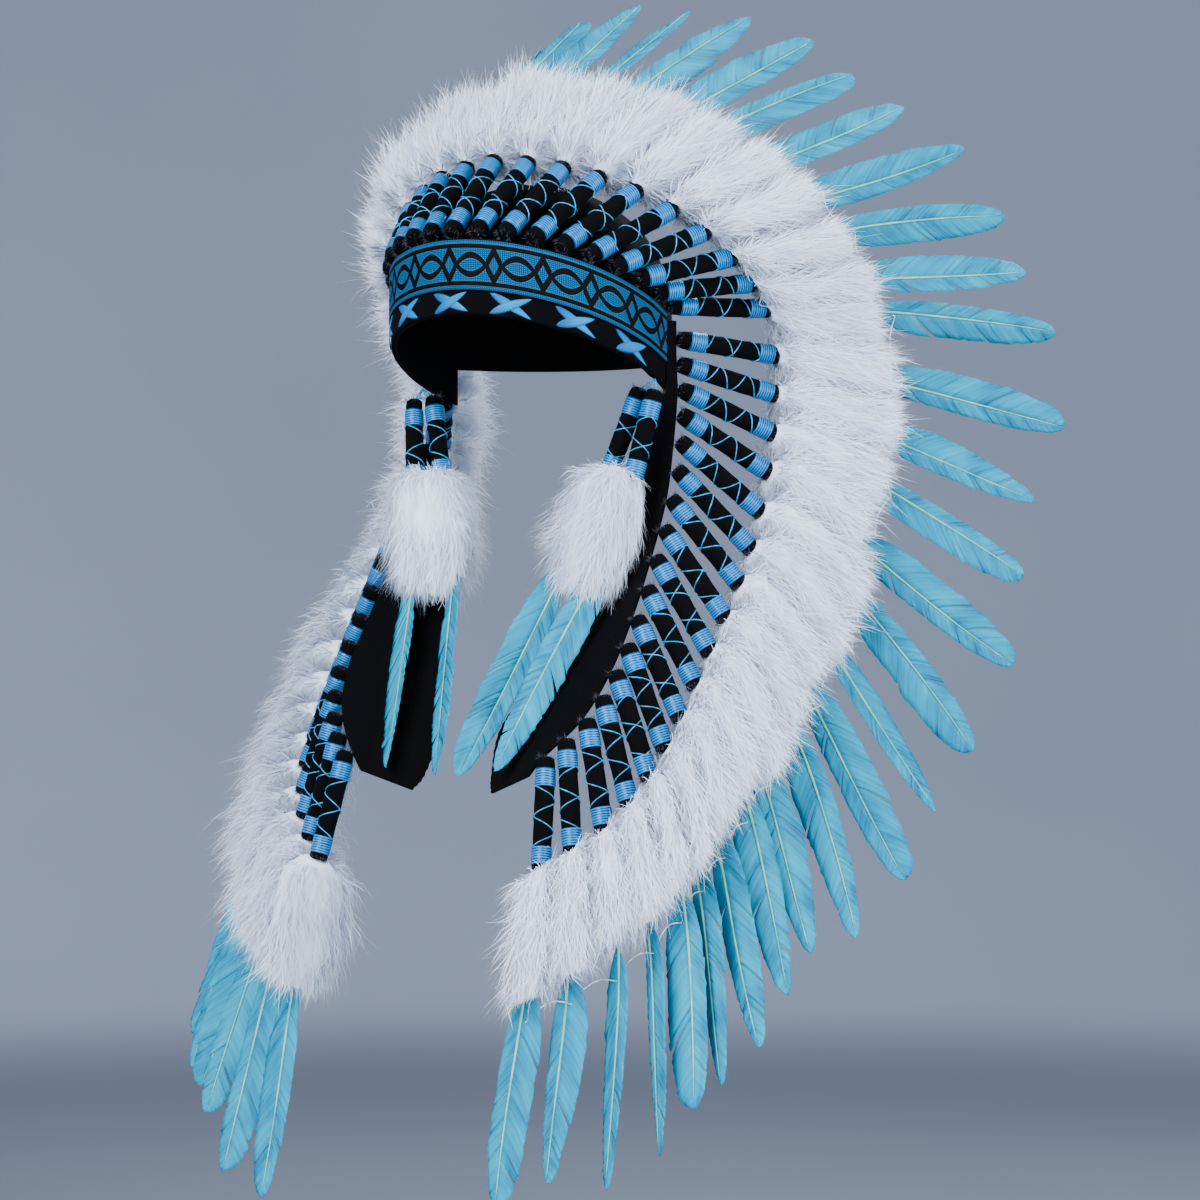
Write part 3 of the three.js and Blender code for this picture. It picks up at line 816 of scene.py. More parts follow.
def add_sleeve(draft, rng, shapes, length, root, front, across, heading):
    """Stand a sleeve on a root, a little different each time, with pile on its two ends"""
    cloth, windings, threads = shapes
    roll = rng.uniform(0, math.tau)
    phase = rng.uniform(0, math.tau, 3)

    def worn(points, amount):
        angle = np.arctan2(points[:, 1], points[:, 0])
        wave = (np.sin(2 * angle + points[:, 2] * 0.11 + phase[0])
                + 0.6 * np.sin(3 * angle - points[:, 2] * 0.23 + phase[1])
                + 0.5 * np.sin(points[:, 2] * 0.4 + phase[2]))
        wave = wave[:, None] * amount
        out = joined(np.cos(angle), np.sin(angle), 0.0)
        return points + out * wave

    for parts, amount, material in (([cloth], 0.14, CLOTH), (windings, 0.14, THREAD),
                                    (threads, 0.1, LOOSE)):
        for points, faces in parts:
            draft.put(placed(worn(points, amount), root, front, across, heading, roll), faces,
                      material)
    add_fuzz(draft, rng, root, front, across, heading, (0.0, 3.0), FUZZ_RADIUS[0], 90, -1)
    add_fuzz(draft, rng, root, front, across, heading, (length - 4, length - 0.5),
             FUZZ_RADIUS[1], 110, 1)


def add_strands(draft, rng, root, heading, outward, length, width, lift, bend, roll, material,
                sway=0.09, soft=0.0):
    """Tapering strands of three triangles each: they rise from the surface and bend back.
    Soft strands take their shading from the surface under them, as dense pile does"""
    count = len(root)
    start = unit(heading * np.cos(lift)[:, None] + outward * np.sin(lift)[:, None]
                 + rng.normal(0, sway, (count, 3)))
    end = unit(start * (1 - bend) + heading * bend + rng.normal(0, sway * 1.5, (count, 3)))
    side = unit(np.cross(start, outward))
    spin = rng.normal(0, roll, count)[:, None]
    side = unit(side * np.cos(spin) + outward * np.sin(spin)) * width[:, None] / 2
    middle = root + start * length[:, None] * 0.5
    tip = middle + end * length[:, None] * 0.5
    points = np.stack((root - side, root + side, middle + side * 0.85, middle - side * 0.85, tip),
                      axis=1)
    first = np.arange(count)[:, None] * 5
    tone = rng.random(count)[:, None]
    faces = [(first + np.array(corners), joined(tone, np.array(shares)))
             for corners, shares in (((0, 1, 2, 3), (0, 0, 0.5, 0.5)),
                                     ((3, 2, 4), (0.5, 0.5, 1)))]
    normals = None
    if soft:
        facing = unit(np.cross(side, start))
        normals = unit(outward * soft + facing * (1 - soft)).repeat(5, axis=0)
    draft.put(points.reshape(-1, 3), faces, material, normals)


def add_tuft(draft, rng, section, length, hairs, hair_width, hair_lengths, pressed=False):
    """A tuft of long pile: a soft inner mass and hairs that stand on it. A pressed tuft lies
    against cloth at its back, where its hairs lie flat"""

    def surface_at(along, turn):
        point, heading, front, right, left = section(along)
        x, y = (np.sign(part)[:, None] * np.abs(part)[:, None] ** TUFT_SQUARENESS
                for part in (np.cos(turn), np.sin(turn)))
        side = np.where(x > 0, right, left)
        reach = side * np.abs(x) + front * y
        outward = unit(unit(side) * np.abs(x) ** 3 + unit(front) * np.sign(y) * np.abs(y) ** 3)
        return point, heading, reach, outward

    # The inner mass, a little narrower than the hair and narrower still at its inner end
    rows, columns = 18, 20
    along = np.repeat(0.5 - 0.5 * np.cos(np.linspace(0, math.pi, rows)), columns)
    turn = np.tile(np.arange(columns) / columns * math.tau, rows)
    point, _, reach, _ = surface_at(along, turn)
    lumps = 1 + 0.05 * rng.normal(0, 1, (len(along), 1))
    full = 0.78 - 0.22 * np.clip(1 - along / 0.15, 0, 1)[:, None]
    draft.put(*skin((point + reach * full * lumps).reshape(rows, columns, 3), turned_in=True),
              UNDERCOAT)

    # The hairs, in locks that lean together; about one in eight starts at the inner end
    lock = rng.integers(0, LOCKS, hairs)
    along = rng.random(LOCKS)[lock] + rng.normal(0, 0.07, hairs)
    along = np.abs(np.where(along > 0.96, 1.92 - along, along))
    along = np.where(rng.random(hairs) < 0.12, 0.12 * rng.random(hairs), along)
    turn = (rng.random(LOCKS) * math.tau)[lock] + rng.normal(0, 0.4, hairs)
    point, heading, reach, outward = surface_at(along, turn)
    heading = unit(heading + rng.normal(0, 0.24, (LOCKS, 3))[lock])
    flat = np.clip(np.sin(turn) * 1.6, 0, 1) * pressed
    root = point + reach * rng.uniform(0.62, 0.95, (hairs, 1)) * (1 - 0.12 * flat[:, None])
    inner = np.clip(1 - along / 0.16, 0, 1)
    lift = np.radians(rng.uniform(4, 36, hairs) + inner * rng.uniform(20, 110, hairs))
    size = rng.uniform(*hair_lengths, hairs) * (1 - 0.55 * inner)
    fine = rng.random(hairs) < 0.15
    room = length * (1 - along) + 2.5 + rng.exponential(np.where(fine, 9, 4), hairs)
    size = np.minimum(size * (1 + 0.3 * fine), room)
    width = hair_width * np.where(fine, 0.5, rng.uniform(0.7, 1.25, hairs))
    lift = (lift + fine * 0.14) * (1 - flat)
    add_strands(draft, rng, root, heading, outward, size, width, lift,
                rng.uniform(0.2, 0.8, hairs)[:, None], 0.35, FUR, sway=0.16, soft=0.8)


def add_fuzz(draft, rng, root, front, across, heading, heights, radius, count, way):
    """Short black pile on a sleeve's end"""
    angle = rng.random(count) * math.tau
    height = rng.uniform(*heights, count)[:, None]
    out = front * np.cos(angle)[:, None] + across * np.sin(angle)[:, None]
    spread = radius * np.sqrt(rng.uniform(0.25 if way < 0 else 0.8, 1, count))[:, None]
    lift = np.radians(rng.uniform(15, 85, count))
    add_strands(draft, rng, root + heading * height + out * spread,
                np.broadcast_to(heading * way, (count, 3)), out,
                rng.uniform(2.0, 5.0, count), np.full(count, 0.3), lift,
                rng.uniform(-0.4, 0.8, count)[:, None], 1.0, PILE)


def add_feather(draft, rng, line, across, normal, at, length, half_width, barbs, lead, splits):
    """A feather on a line of stations `at`: a shaft, and barbs that part here and there"""
    share = np.clip(at / length, 0, 1)
    skew = 0.24 * half_width
    line = line + across * (lead * skew * (1 - share ** 3))[:, None]
    shift = rng.uniform(0, 400)
    slender = rng.choice((0.0, 0.3, 0.75))

    def read(values, spots):
        return joined(*(np.interp(spots, at, values[:, i]) for i in range(3)))

    u = np.linspace(0, 1, 5)[None, :]
    for side in (1, -1):
        full = half_width - skew * lead * side
        tips = length * (1 - (1 - np.linspace(0, 1, barbs)) ** 1.25 * (1 - 2 / length))
        width = full * read_table(VANE_OUTLINE, tips / length)
        width *= 1 - slender * np.clip(tips / length - 0.3, 0, 1) ** 1.5
        roots = tips - width * 1.15
        groups = rng.choice(np.arange(5, barbs - 8), size=rng.integers(*splits), replace=False)
        groups = np.concatenate(([0], np.sort(groups), [barbs]))
        for start, end in zip(groups[:-1], groups[1:]):
            rows = np.arange(start, min(end + 1, barbs))
            if len(rows) < 2:
                continue
            spot = roots[rows]
            size = width[rows] * (1 + 0.022 * rng.normal(size=len(rows)))
            size *= 1 - 0.12 * rng.random() * (tips[rows] < 0.9 * length)
            gap = rng.choice((0.3, 1.0, 2.4, 4.0), p=(0.35, 0.3, 0.2, 0.15))
            ends = np.exp(-np.arange(len(rows)) / 2.5)
            closing = (ends - ends[::-1]) * gap * 0.5
            forward = tips[rows] - spot
            spots = (spot[:, None] + forward[:, None] * u ** 1.15 + closing[:, None] * u ** 2)
            out = size[:, None] * u ** 0.92 * side
            lift = (-0.06 * full * u ** 2 + rng.normal(0, 0.03) * full * u ** 2
                    + 0.3 * u * np.sin(spot[:, None] * 0.8 + u * 2 + rng.uniform(0, 6)))
            shape = spots.shape
            flat = spots.ravel()
            n = read(normal, flat).reshape(*shape, 3)
            points = (read(line, flat) + read(across, flat) * out.reshape(-1, 1)).reshape(
                *shape, 3) + n * lift[..., None]
            uv = joined(0.5 + 0.5 * side * u, spot[:, None] + shift)
            draft.put(*slab(points, n, BARB_THICKNESS / 2, uv, turned_in=side < 0), VANE)
    stations = np.linspace(-QUILL_HIDDEN, length * 0.95, 22)
    axis = read(line, stations) + read(normal, stations) * 0.2
    radius = 0.25 + 0.75 * np.clip(1 - stations / length, 0, 1) ** 0.8
    draft.put(*tube(axis, radius, 6, read(normal, stations), read(across, stations)), SHAFT)


def plume_materials(settings):
    """The finishes of a plume, in the order of the material numbers"""
    names = ("fur_acrylic_brushed", "fur_acrylic_undercoat", "feather_goose_dyed",
             "quill_keratin_dyed", "sleeve_fleece_rolled", "thread_rayon_wound",
             "pile_black_sheared", "thread_rayon_crossing")
    if names[0] in bpy.data.materials:
        return [bpy.data.materials[name] for name in names]
    return [
        fur_pile(settings.fur_hex),
        fur_undercoat(settings.fur_hex),
        feather_vane(settings.vane_deep_hex, settings.vane_hex, settings.vane_light_hex),
        feather_shaft(settings.shaft_hex),
        black_cloth("sleeve_fleece_rolled", "#030304", "#121217", 900.0),
        satin_thread("thread_rayon_wound", settings.thread_groove_shade_hex, settings.thread_hex, 1.7,
                     0.6),
        plain_strand("pile_black_sheared", "#4C4C56", 0.9),
        plain_strand("thread_rayon_crossing", settings.crossing_hex, 0.4),
    ]


def plume_name(index):
    side = "l" if index > 0 else "r"
    return f"plume_{side}{abs(index):02d}" if index else "plume_center"


def build_plume(index, shapes, settings):
    rng = np.random.default_rng(PLUME_SEED + index)
    draft = Draft()
    point, heading, normal, across, _, _ = plume_frame(index, [0.0])
    add_sleeve(draft, rng, shapes, SLEEVE_LENGTH, point[0], normal[0], across[0], heading[0])

    over_brow = max(1 - abs(index) / BROW_PLUMES, 0)
    fur_length = FUR_END - FUR_START + rng.uniform(*FUR_CHANGE) - BROW_SHORTER * over_brow
    fullness = (FUR_HALF_THICKNESS * (1 - BROW_THINNER * over_brow)
                * rng.uniform(*FUR_FULLNESS))

    def section(along):
        distance = FUR_START + along * fur_length
        point, heading, normal, _, after, before = plume_frame(index, distance)
        thick = fullness * read_table(TUFT_SHAPE, along)
        wide = read_table(TUFT_SHAPE, along, 2)[:, None]
        return point, heading, normal * thick[:, None], (after - point) * wide, (
            before - point) * wide

    add_tuft(draft, rng, section, fur_length, settings.hairs, settings.hair_width / MM,
             PLUME_HAIRS)
    length_share, twist, bow = PLUME_VARIATION[(index * 3) % len(PLUME_VARIATION)]
    length = PLUME_LENGTH * length_share - FUR_END
    turn = np.sign(index) * direction_at(abs(index))[4]
    angle = math.radians(turn + FEATHER_TWIST * twist)
    at = np.linspace(-2 * QUILL_HIDDEN, length, 60)
    point, _, normal, across, _, _ = plume_frame(index, FUR_END + at)
    bent = np.clip(at / length, 0, 1) ** 2 * bow * FEATHER_HALF_WIDTH
    wide = across * math.cos(angle) - normal * math.sin(angle)
    face = normal * math.cos(angle) + across * math.sin(angle)
    add_feather(draft, rng, point + wide * bent[:, None], wide, face, at, length,
                FEATHER_HALF_WIDTH, settings.barbs, 1 if (index * 7) % 5 < 3 else -1,
                PLUME_SPLITS)
    name = plume_name(index)
    piece = draft.object(f"feather_{name}", plume_materials(settings))
    keep(piece, "plumes", name)


def build_drop(side, settings):
    """A temple drop: two sleeves on threads, one tuft and two feathers"""
    rng = np.random.default_rng(DROP_SEED + side)
    draft = Draft()
    knot = band_point(DROP_ANGLE, BAND_RADIUS - FELT_WALL / 2, -SEAM - DROP_THREAD_RADIUS)
    shapes = sleeve_shapes(DROP_SLEEVE_LENGTH, settings)
    for top, hang in DROP_SLEEVES:
        start, heading = knot + np.array(top), unit(np.array(hang))
        across = unit(np.cross((0.0, 1.0, 0.0), heading))
        front = np.cross(across, heading)
        add_sleeve(draft, rng, shapes, DROP_SLEEVE_LENGTH, start, front, across, heading)
        share = np.linspace(0, 1, 14)[:, None]
        for sag in (HANGING_SAG, -HANGING_SAG):
            line = knot + (start + heading * 3 - knot) * share
            line = line + across * np.sin(share * math.pi) * sag
            draft.put(*tube_along(line, HANGING_RADIUS, 5), LOOSE)
    heading, across = unit(np.array(DROP_TUFT_HEADING)), np.array(DROP_TUFT_ACROSS)
    normal = unit(np.cross(across, heading))
    tuft_top = knot + np.array(DROP_TUFT_TOP)

    def section(along):
        thick = read_table(DROP_SHAPE, along)[:, None]
        point = tuft_top + heading * (along * DROP_TUFT_LENGTH)[:, None]
        right = across * DROP_TUFT_HALF_WIDTH * thick
        return (point, np.broadcast_to(heading, point.shape),
                normal * DROP_TUFT_HALF_THICKNESS * thick, right, -right)

    add_tuft(draft, rng, section, DROP_TUFT_LENGTH, int(settings.hairs * DROP_HAIR_COUNT),
             settings.hair_width / MM * DROP_HAIR_WIDTH, DROP_HAIRS, pressed=True)
    tuft_end = tuft_top + heading * DROP_TUFT_LENGTH * 0.86
    at = np.linspace(-2 * QUILL_HIDDEN, DROP_FEATHER_LENGTH, 60)
    for start, way, full, lead in DROP_FEATHERS:
        way = unit(np.array(way))
        face = unit(np.cross(DROP_FEATHER_ACROSS, way))
        wide = np.cross(way, face)
        line = tuft_end + np.array(start) + way * at[:, None]
        same = np.ones((len(at), 1))
        add_feather(draft, rng, line, wide * same, face * same, at, DROP_FEATHER_LENGTH,
                    DROP_FEATHER_HALF_WIDTH * full, settings.barbs, lead, DROP_SPLITS)
    if side < 0:
        draft.mirror()
    name = "drop_left" if side > 0 else "drop_right"
    piece = draft.object(f"temple_{name}", plume_materials(settings))
    keep(piece, "plumes", name)


# ---- Felt, ribbon and stitches


def keep(piece, slot, *nodes):
    """Hang a piece on the headdress, in place of the nodes it stands for; slot is not used"""
    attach(piece, "root")
    if nodes:
        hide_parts(*nodes)
    return piece


def cloth_strip(name, columns, rows, place, size, thickness, material):
    """A strip of cloth: a grid carried to its place, walled and with softened edges. place
    takes shares of the width and length, from 0 to 1, and gives millimetres"""
    form = bmesh.new()
    layer = form.loops.layers.uv.new("surface")
    bmesh.ops.create_grid(form, x_segments=columns, y_segments=rows, size=0.5)
    for face in form.faces:
        for loop in face.loops:
            spot = loop.vert.co
            loop[layer].uv = ((spot.x + 0.5) * size[0], (spot.y + 0.5) * size[1])
    for vertex in form.verts:
        vertex.co = Vector(place(vertex.co.x + 0.5, vertex.co.y + 0.5)) * MM
    piece = object_of(form, name, material)
    wall = piece.modifiers.new("wall", "SOLIDIFY")
    wall.thickness, wall.offset, wall.use_even_offset = thickness * MM, 0.0, True
    soft = piece.modifiers.new("soft edge", "BEVEL")
    soft.width, soft.segments, soft.limit_method = 0.25 * thickness * MM, 2, "ANGLE"
    soft.angle_limit = math.radians(60)
    return piece


def band_length(radius):
    line = band_point(np.linspace(-BAND_REACH, BAND_REACH, 200), radius, 0.0)
    return float(np.linalg.norm(np.diff(line, axis=0), axis=1).sum())


def felt():
    name = "felt_needle_punched"
    return bpy.data.materials.get(name) or black_cloth(name, "#020203", "#0E0E12", 700.0)


def length_property(name, description, default):
    return bpy.props.FloatProperty(name=name, description=description, default=default,
                                   unit="LENGTH", precision=5)


def colour_property(name, description, default):
    return bpy.props.StringProperty(name=name, description=description + ", as hex",
                                    default=default)


class PlumeSettings(bpy.types.PropertyGroup):
    hairs: bpy.props.IntProperty(
        name="Hairs", description="Hairs on one tuft", default=3500, min=100)
    hair_width: length_property("Hair width", "Width of one lock of pile", 0.0005)
    barbs: bpy.props.IntProperty(
        name="Barbs", description="Rows of barbs on each side of a feather", default=46, min=16)
    winding_width: length_property("Winding width", "Width of the winding on a sleeve", 0.012)
    cross_thread: length_property("Crossing thread", "Diameter of the crossing threads", 0.0009)
    cross_pitch: length_property("Crossing pitch", "Length of one turn of these threads", 0.021)
    fur_hex: colour_property("Fur", "Colour of the fur", "#EEF3FD")
    vane_deep_hex: colour_property("Deep vane", "Deepest feather colour", "#005A7C")
    vane_hex: colour_property("Vane", "Main feather colour", "#0088A6")
    vane_light_hex: colour_property("Light vane", "Palest feather colour", "#00A2BA")
    shaft_hex: colour_property("Shaft", "Colour of the quill", "#8FC49A")
    thread_hex: colour_property("Thread", "Colour of the wound thread", "#067AB8")
    # Painted shade between the windings
    thread_groove_shade_hex: colour_property("Deep thread", "Colour between the windings", "#01265C")
    crossing_hex: colour_property("Crossing", "Colour of the crossing threads", "#1E9CD2")


class RibbonSettings(bpy.types.PropertyGroup):
    figure_pitch: length_property("Figure pitch", "Distance between two diamonds", 0.034)
    stroke: length_property("Stroke", "Width of the black figures' line", 0.0044)
    ground_hex: colour_property("Ground", "Colour of the ribbon's ground", "#06649A")
    # Painted shade between the cords
    ground_cord_shade_hex: colour_property("Deep ground", "Colour between its cords", "#002A46")
    stitch_pitch: bpy.props.FloatProperty(
        name="Stitch pitch", description="Degrees between two crossed stitches", default=25.4)
    stitch_hex: colour_property("Straw", "Colour of the straw stitches", "#0470A6")


class StageSettings(bpy.types.PropertyGroup):
    camera_distance: length_property(
        "Camera distance", "From the headdress to the camera", 2.2)
    camera_turn: bpy.props.FloatProperty(
        name="Camera turn", description="How far the camera stands round from the front",
        default=math.radians(33), subtype="ANGLE")
    lens: bpy.props.FloatProperty(
        name="Lens", description="Focal length on a 36 mm frame, in millimetres", default=95.7)
    floor_height: length_property("Floor", "Height of the floor", -0.95)
    floor_hex: colour_property("Cove", "Colour of the floor and cove", "#ADB3C1")
    light: bpy.props.FloatProperty(
        name="Light", description="Brightness of all the lamps", default=1.2)


class HEADDRESS_OT_stage(bpy.types.Operator):
    """Set up the camera, the lamps and the cove"""

    bl_idname = "headdress.stage"
    bl_label = "Stage"

    def execute(self, context):
        settings = context.scene.headdress_stage
        turn = settings.camera_turn
        right = Vector((math.cos(turn), math.sin(turn), 0))
        away = Vector((-math.sin(turn), math.cos(turn), 0))
        camera = bpy.data.objects.new("camera", bpy.data.cameras.new("camera"))
        camera.data.lens = settings.lens
        camera.data.sensor_width = 36
        place = (-away * settings.camera_distance + right * CAMERA_RIGHT
                 + Vector((0, 0, CAMERA_UP)))
        camera.matrix_world = Matrix.Translation(place) @ Matrix((
            (right.x, 0, -away.x, 0), (right.y, 0, -away.y, 0), (0, 1, 0, 0), (0, 0, 0, 1)))
        context.scene.collection.objects.link(camera)
        context.scene.camera = camera
        for name, (across, back, height, size, power) in LAMPS.items():
            place = right * across + away * back + Vector((0, 0, height))
            lamp = bpy.data.lights.new(name, "AREA")
            lamp.energy = power * settings.light
            lamp.size = size
            lamp.color = linear("#E9F2FF")[:3]
            holder = bpy.data.objects.new(name, lamp)
            holder.location = place
            facing = Vector(LAMP_TARGET) - place
            holder.rotation_euler = facing.to_track_quat("-Z", "Y").to_euler()
            context.scene.collection.objects.link(holder)
        world = bpy.data.worlds.new("studio_air")
        world.use_nodes = True
        sky = world.node_tree.nodes["Background"]
        sky.inputs["Color"].default_value = linear("#C2D0E8")
        sky.inputs["Strength"].default_value = 0.55
        context.scene.world = world
        low, flat = settings.floor_height, COVE_RADIUS - COVE_CURVE
        profile = [(0.0, low), (1.5, low), (flat, low)]
        profile += [(flat + COVE_CURVE * math.sin(a), low + COVE_CURVE * (1 - math.cos(a)))
                    for a in (math.pi / 24 * step for step in range(1, 13))]
        form = spun(profile + [(COVE_RADIUS, COVE_TOP)], ROUND_STEPS, 0.0001)
        face_up(form, lambda face: face.calc_center_median().length)
        object_of(form, "cove", painted_floor(settings.floor_hex, low))
        return {"FINISHED"}


def cap_form():
    """A dome inside the band, cut along the band's slope and level behind, with soft folds"""
    radius = BAND_RADIUS - FELT_WALL - SEAM
    profile = [(radius * math.sin(turn), CAP_SPRING + CAP_DOME * math.cos(turn))
               for turn in (math.pi / 2 * step / 18 for step in range(19))]
    profile += [(radius, height) for height in (40, 32, 24, 16, 8, 0, -10, -20, -30, -50)]
    form = spun([(x * MM, z * MM) for x, z in profile], ROUND_STEPS, 0.00001)
    back, rim = CAP_BACK_START * MM, CAP_BACK_RIM * MM
    slope = Vector((0, BROW_RISE, BAND_RADIUS)).normalized()
    for place, way, cut in (((0, 0, 0), slope, True), ((0, back, 0), (0, 1, 0), False),
                            ((0, 0, rim), (0, 0, 1), False)):
        bmesh.ops.bisect_plane(form, geom=form.verts[:] + form.edges[:] + form.faces[:],
                               plane_co=place, plane_no=way, clear_inner=cut)
    low = [face for face in form.faces
           if face.calc_center_median().y > back and face.calc_center_median().z < rim]
    bmesh.ops.delete(form, geom=low, context="FACES")
    face_up(form, lambda face: -face.calc_center_median().z)
    for vertex in form.verts:
        x, y, z = vertex.co / MM
        above_band = min(max((z - CAP_FOLD_START) / 30, 0), 1)
        angle = math.atan2(x, -y)
        fold = (math.sin(angle * 9 + z * 0.05) + 0.6 * math.sin(angle * 17 - z * 0.09)
                + 0.7 * math.sin(z * 0.16 + 2 * math.cos(angle * 3)))
        outward = Vector((x, y, (z - CAP_SPRING) * 1.1)).normalized()
        vertex.co -= outward * (0.9 + 0.5 * fold) * 1.1 * above_band * MM
    return form


class HEADDRESS_OT_band(bpy.types.Operator):
    """Make the felt brow band and the cap inside it"""

    bl_idname = "headdress.band"
    bl_label = "Band and cap"

    def execute(self, context):
        middle = BAND_RADIUS - FELT_WALL / 2

        def on_band(x, y):
            angle = -BAND_REACH + 2 * BAND_REACH * x
            wave = 0.15 * math.sin(x * 61) + 0.1 * math.sin(x * 137 + 1)
            return band_point(angle, middle, y * BAND_HEIGHT + wave * (1 - 2 * y) * 0.6)

        length = band_length(middle)
        band = cloth_strip("felt_brow_band", 120, 8, on_band, (length, BAND_HEIGHT),
                           FELT_WALL, felt())
        keep(band, "felt", "brow_band")

        cap = object_of(cap_form(), "felt_cap", felt())
        wall = cap.modifiers.new("wall", "SOLIDIFY")
        wall.thickness, wall.offset = (FELT_WALL - 0.2) * MM, -1.0
        keep(cap, "felt", "cap")
        return {"FINISHED"}


class HEADDRESS_OT_trailers(bpy.types.Operator):
    """Make the two felt trailers that hang beside the face"""

    bl_idname = "headdress.trailers"
    bl_label = "Trailers"

    def execute(self, context):
        rows = 190
        spots = np.linspace(TRAILER_TOP, TRAILER_END, rows + 1)
        edges = [trailer_edges(spot) for spot in spots]
        middles = np.array([(outer + inner) / 2 for outer, inner in edges])
        length = float(np.linalg.norm(np.diff(middles, axis=0), axis=1).sum())
        for side, name in ((1, "left"), (-1, "right")):
            def hung(x, y, side=side):
                outer, inner = edges[round(y * rows)]
                point = outer + (inner - outer) * x
                wave = math.sin(y * 34 + side) * 1.3 * x * min(y * 3, 1)
                ragged = 0.35 * math.sin(y * rows * 1.7) * (x > 0.99)
                inward = unit(inner - outer)
                face = unit(np.cross(inward, (0.0, 0.0, 1.0)))
                point = point + face * wave * 0.6 + inward * ragged
                return point * (side, 1, 1)

            trailer = cloth_strip(f"felt_trailer_{name}", 12, rows, hung,
                                  (FLAP_WIDTH, length), FELT_WALL, felt())
            if side > 0:
                trailer.data.flip_normals()
            keep(trailer, "felt", f"trailer_{name}")
        return {"FINISHED"}


def add_stitches(pitch, middle):
    """Crossed flat straws on the band, round a height; each bulges and narrows to its ends"""
    rng = np.random.default_rng(STRAW_SEED)
    draft = Draft()
    along = np.linspace(0, 1, 13)[:, None]
    wide = np.linspace(-1, 1, 5)[None, :]
    for number in range(-STITCHES_PER_SIDE, STITCHES_PER_SIDE + 1):
        for layer, slope in enumerate((1, -1)):
            half_run = rng.uniform(*STRAW_HALF_RUN)
            half_rise = rng.uniform(*STRAW_HALF_RISE)
            fullness = rng.uniform(*STRAW_HALF_WIDTH)
            profile = fullness * np.sin(math.pi * along ** 0.8) ** 0.75
            tilt = math.atan2(half_rise, half_run) * slope
            run = half_run * (2 * along - 1) + wide * profile * math.sin(tilt)
            rise = -slope * half_rise * (2 * along - 1) + wide * profile * math.cos(tilt)
            rise = np.clip(rise, 0.3 - middle, middle - 0.1)
            angle = number * pitch + np.degrees(run / BAND_RADIUS)
            lift = 0.45 + layer * 0.5 * np.sin(math.pi * along) + 0.35 * (1 - wide ** 2)
            points = band_point(angle, BAND_RADIUS + lift, middle + rise)
            normals = band_point(angle, 1.0, 0.0) * (1, 1, 0)
            uv = joined(wide + 4 * number + layer, along * 28)
            draft.put(*slab(points, unit(normals), STRAW_THICKNESS / 2, uv), 0)
    return draft


class HEADDRESS_OT_ribbon(bpy.types.Operator):
    """Make the woven ribbon and the straw stitches below it"""

    bl_idname = "headdress.ribbon"
    bl_label = "Ribbon and stitches"

    def execute(self, context):
        settings = context.scene.headdress_ribbon
        radius = BAND_RADIUS + SEAM + RIBBON_THICKNESS / 2
        low = BAND_HEIGHT - RIBBON_DROP - RIBBON_HEIGHT
        length = band_length(radius)

        def on_band(x, y):
            angle = -BAND_REACH + 2 * BAND_REACH * x
            return band_point(angle, radius + 0.12 * math.sin(x * 83), low + y * RIBBON_HEIGHT)

        ribbon = cloth_strip("woven_band_ribbon", 140, 6, on_band, (length, RIBBON_HEIGHT),
                             RIBBON_THICKNESS * 0.8, jacquard(settings))
        for spot in ribbon.data.uv_layers["surface"].data:
            spot.uv.x += settings.figure_pitch / MM / 2 - length / 2
        keep(ribbon, "ribbon", "woven_ribbon")

        draft = add_stitches(settings.stitch_pitch, low / 2 - 0.1)
        # Its first colour is painted shade where the straw's relief dips, as on the threads
        straw = satin_thread("straw_satin_flat", "#034F86", settings.stitch_hex, 40.0, 0.3)
        stitches = draft.object("straw_cross_stitches", [straw])
        keep(stitches, "ribbon")
        return {"FINISHED"}


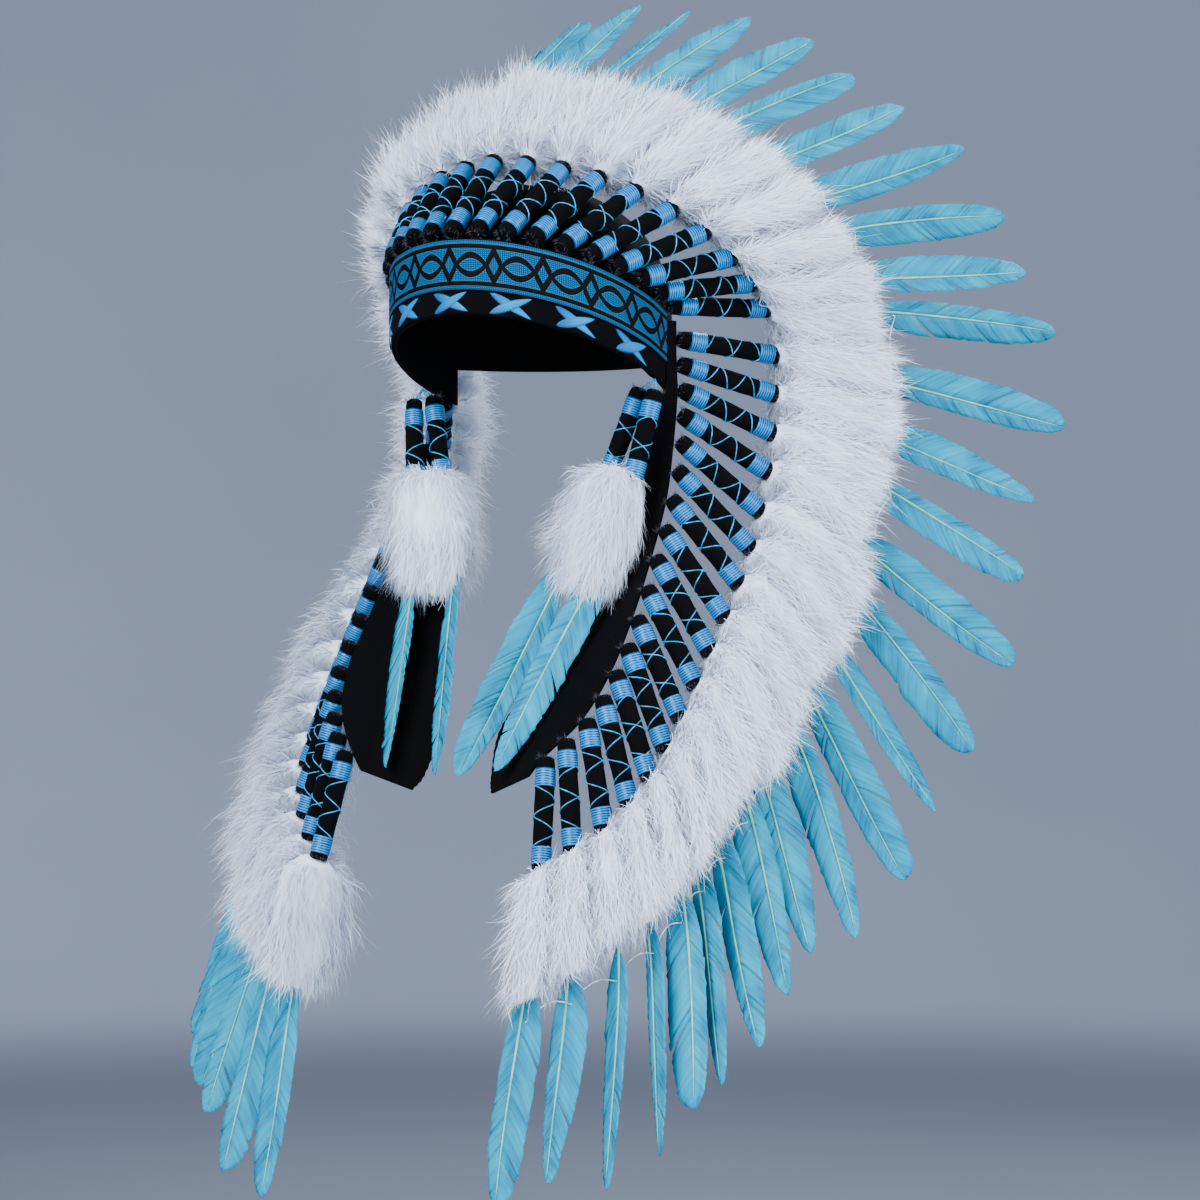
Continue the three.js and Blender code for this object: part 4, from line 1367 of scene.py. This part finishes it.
class HEADDRESS_OT_plumes(bpy.types.Operator):
    """Make the crown of plumes and the thread that links them"""

    bl_idname = "headdress.plumes"
    bl_label = "Plumes"

    def execute(self, context):
        settings = context.scene.headdress_plumes
        shapes = sleeve_shapes(SLEEVE_LENGTH, settings)
        indices = range(-PLUMES_PER_SIDE, PLUMES_PER_SIDE + 1)
        for index in indices:
            build_plume(index, shapes, settings)
        knots, inner = (np.array([quill_line(index, np.array([FUR_END + past]))[0][0]
                                  for index in indices]) for past in (LINK_KNOT, LINK_SAG))
        share = np.linspace(0, 1, 7)[:-1, None]
        line = [knots[i] + (knots[i + 1] - knots[i]) * share
                + (inner[i] - knots[i]) * np.sin(share * math.pi)
                for i in range(len(knots) - 1)]
        draft = Draft()
        draft.put(*tube_along(np.concatenate(line + [knots[-1:]]), LINK_RADIUS, 5), 0)
        thread = draft.object("linking_thread",
                              [plain_strand("thread_nylon_white", "#F1F4F8", 0.35)])
        keep(thread, "plumes")
        return {"FINISHED"}


class HEADDRESS_OT_drops(bpy.types.Operator):
    """Make the two temple drops"""

    bl_idname = "headdress.drops"
    bl_label = "Temple drops"

    def execute(self, context):
        for side in (1, -1):
            build_drop(side, context.scene.headdress_plumes)
        return {"FINISHED"}


STEPS = ("stage", "band", "trailers", "ribbon", "plumes", "drops")


class HEADDRESS_PT_panel(bpy.types.Panel):
    bl_label = "Feathered headdress"
    bl_idname = "HEADDRESS_PT_panel"
    bl_space_type = "VIEW_3D"
    bl_region_type = "UI"
    bl_category = "Headdress"

    def draw(self, context):
        for step in STEPS:
            self.layout.operator(f"headdress.{step}")
        for group in (getattr(context.scene, kind) for kind in SETTINGS):
            for name in group.__annotations__:
                self.layout.prop(group, name)


CLASSES = (
    PlumeSettings,
    RibbonSettings,
    StageSettings,
    HEADDRESS_OT_stage,
    HEADDRESS_OT_band,
    HEADDRESS_OT_trailers,
    HEADDRESS_OT_ribbon,
    HEADDRESS_OT_plumes,
    HEADDRESS_OT_drops,
    HEADDRESS_PT_panel,
)
SETTINGS = {
    "headdress_plumes": PlumeSettings,
    "headdress_ribbon": RibbonSettings,
    "headdress_stage": StageSettings,
}


def register():
    for kind in CLASSES:
        bpy.utils.register_class(kind)
    for name, kind in SETTINGS.items():
        setattr(bpy.types.Scene, name, bpy.props.PointerProperty(type=kind))


def unregister():
    for name in SETTINGS:
        delattr(bpy.types.Scene, name)
    for kind in reversed(CLASSES):
        bpy.utils.unregister_class(kind)


def main():
    register()
    for step in STEPS:
        getattr(bpy.ops.headdress, step)()


if __name__ == "__main__":
    main()
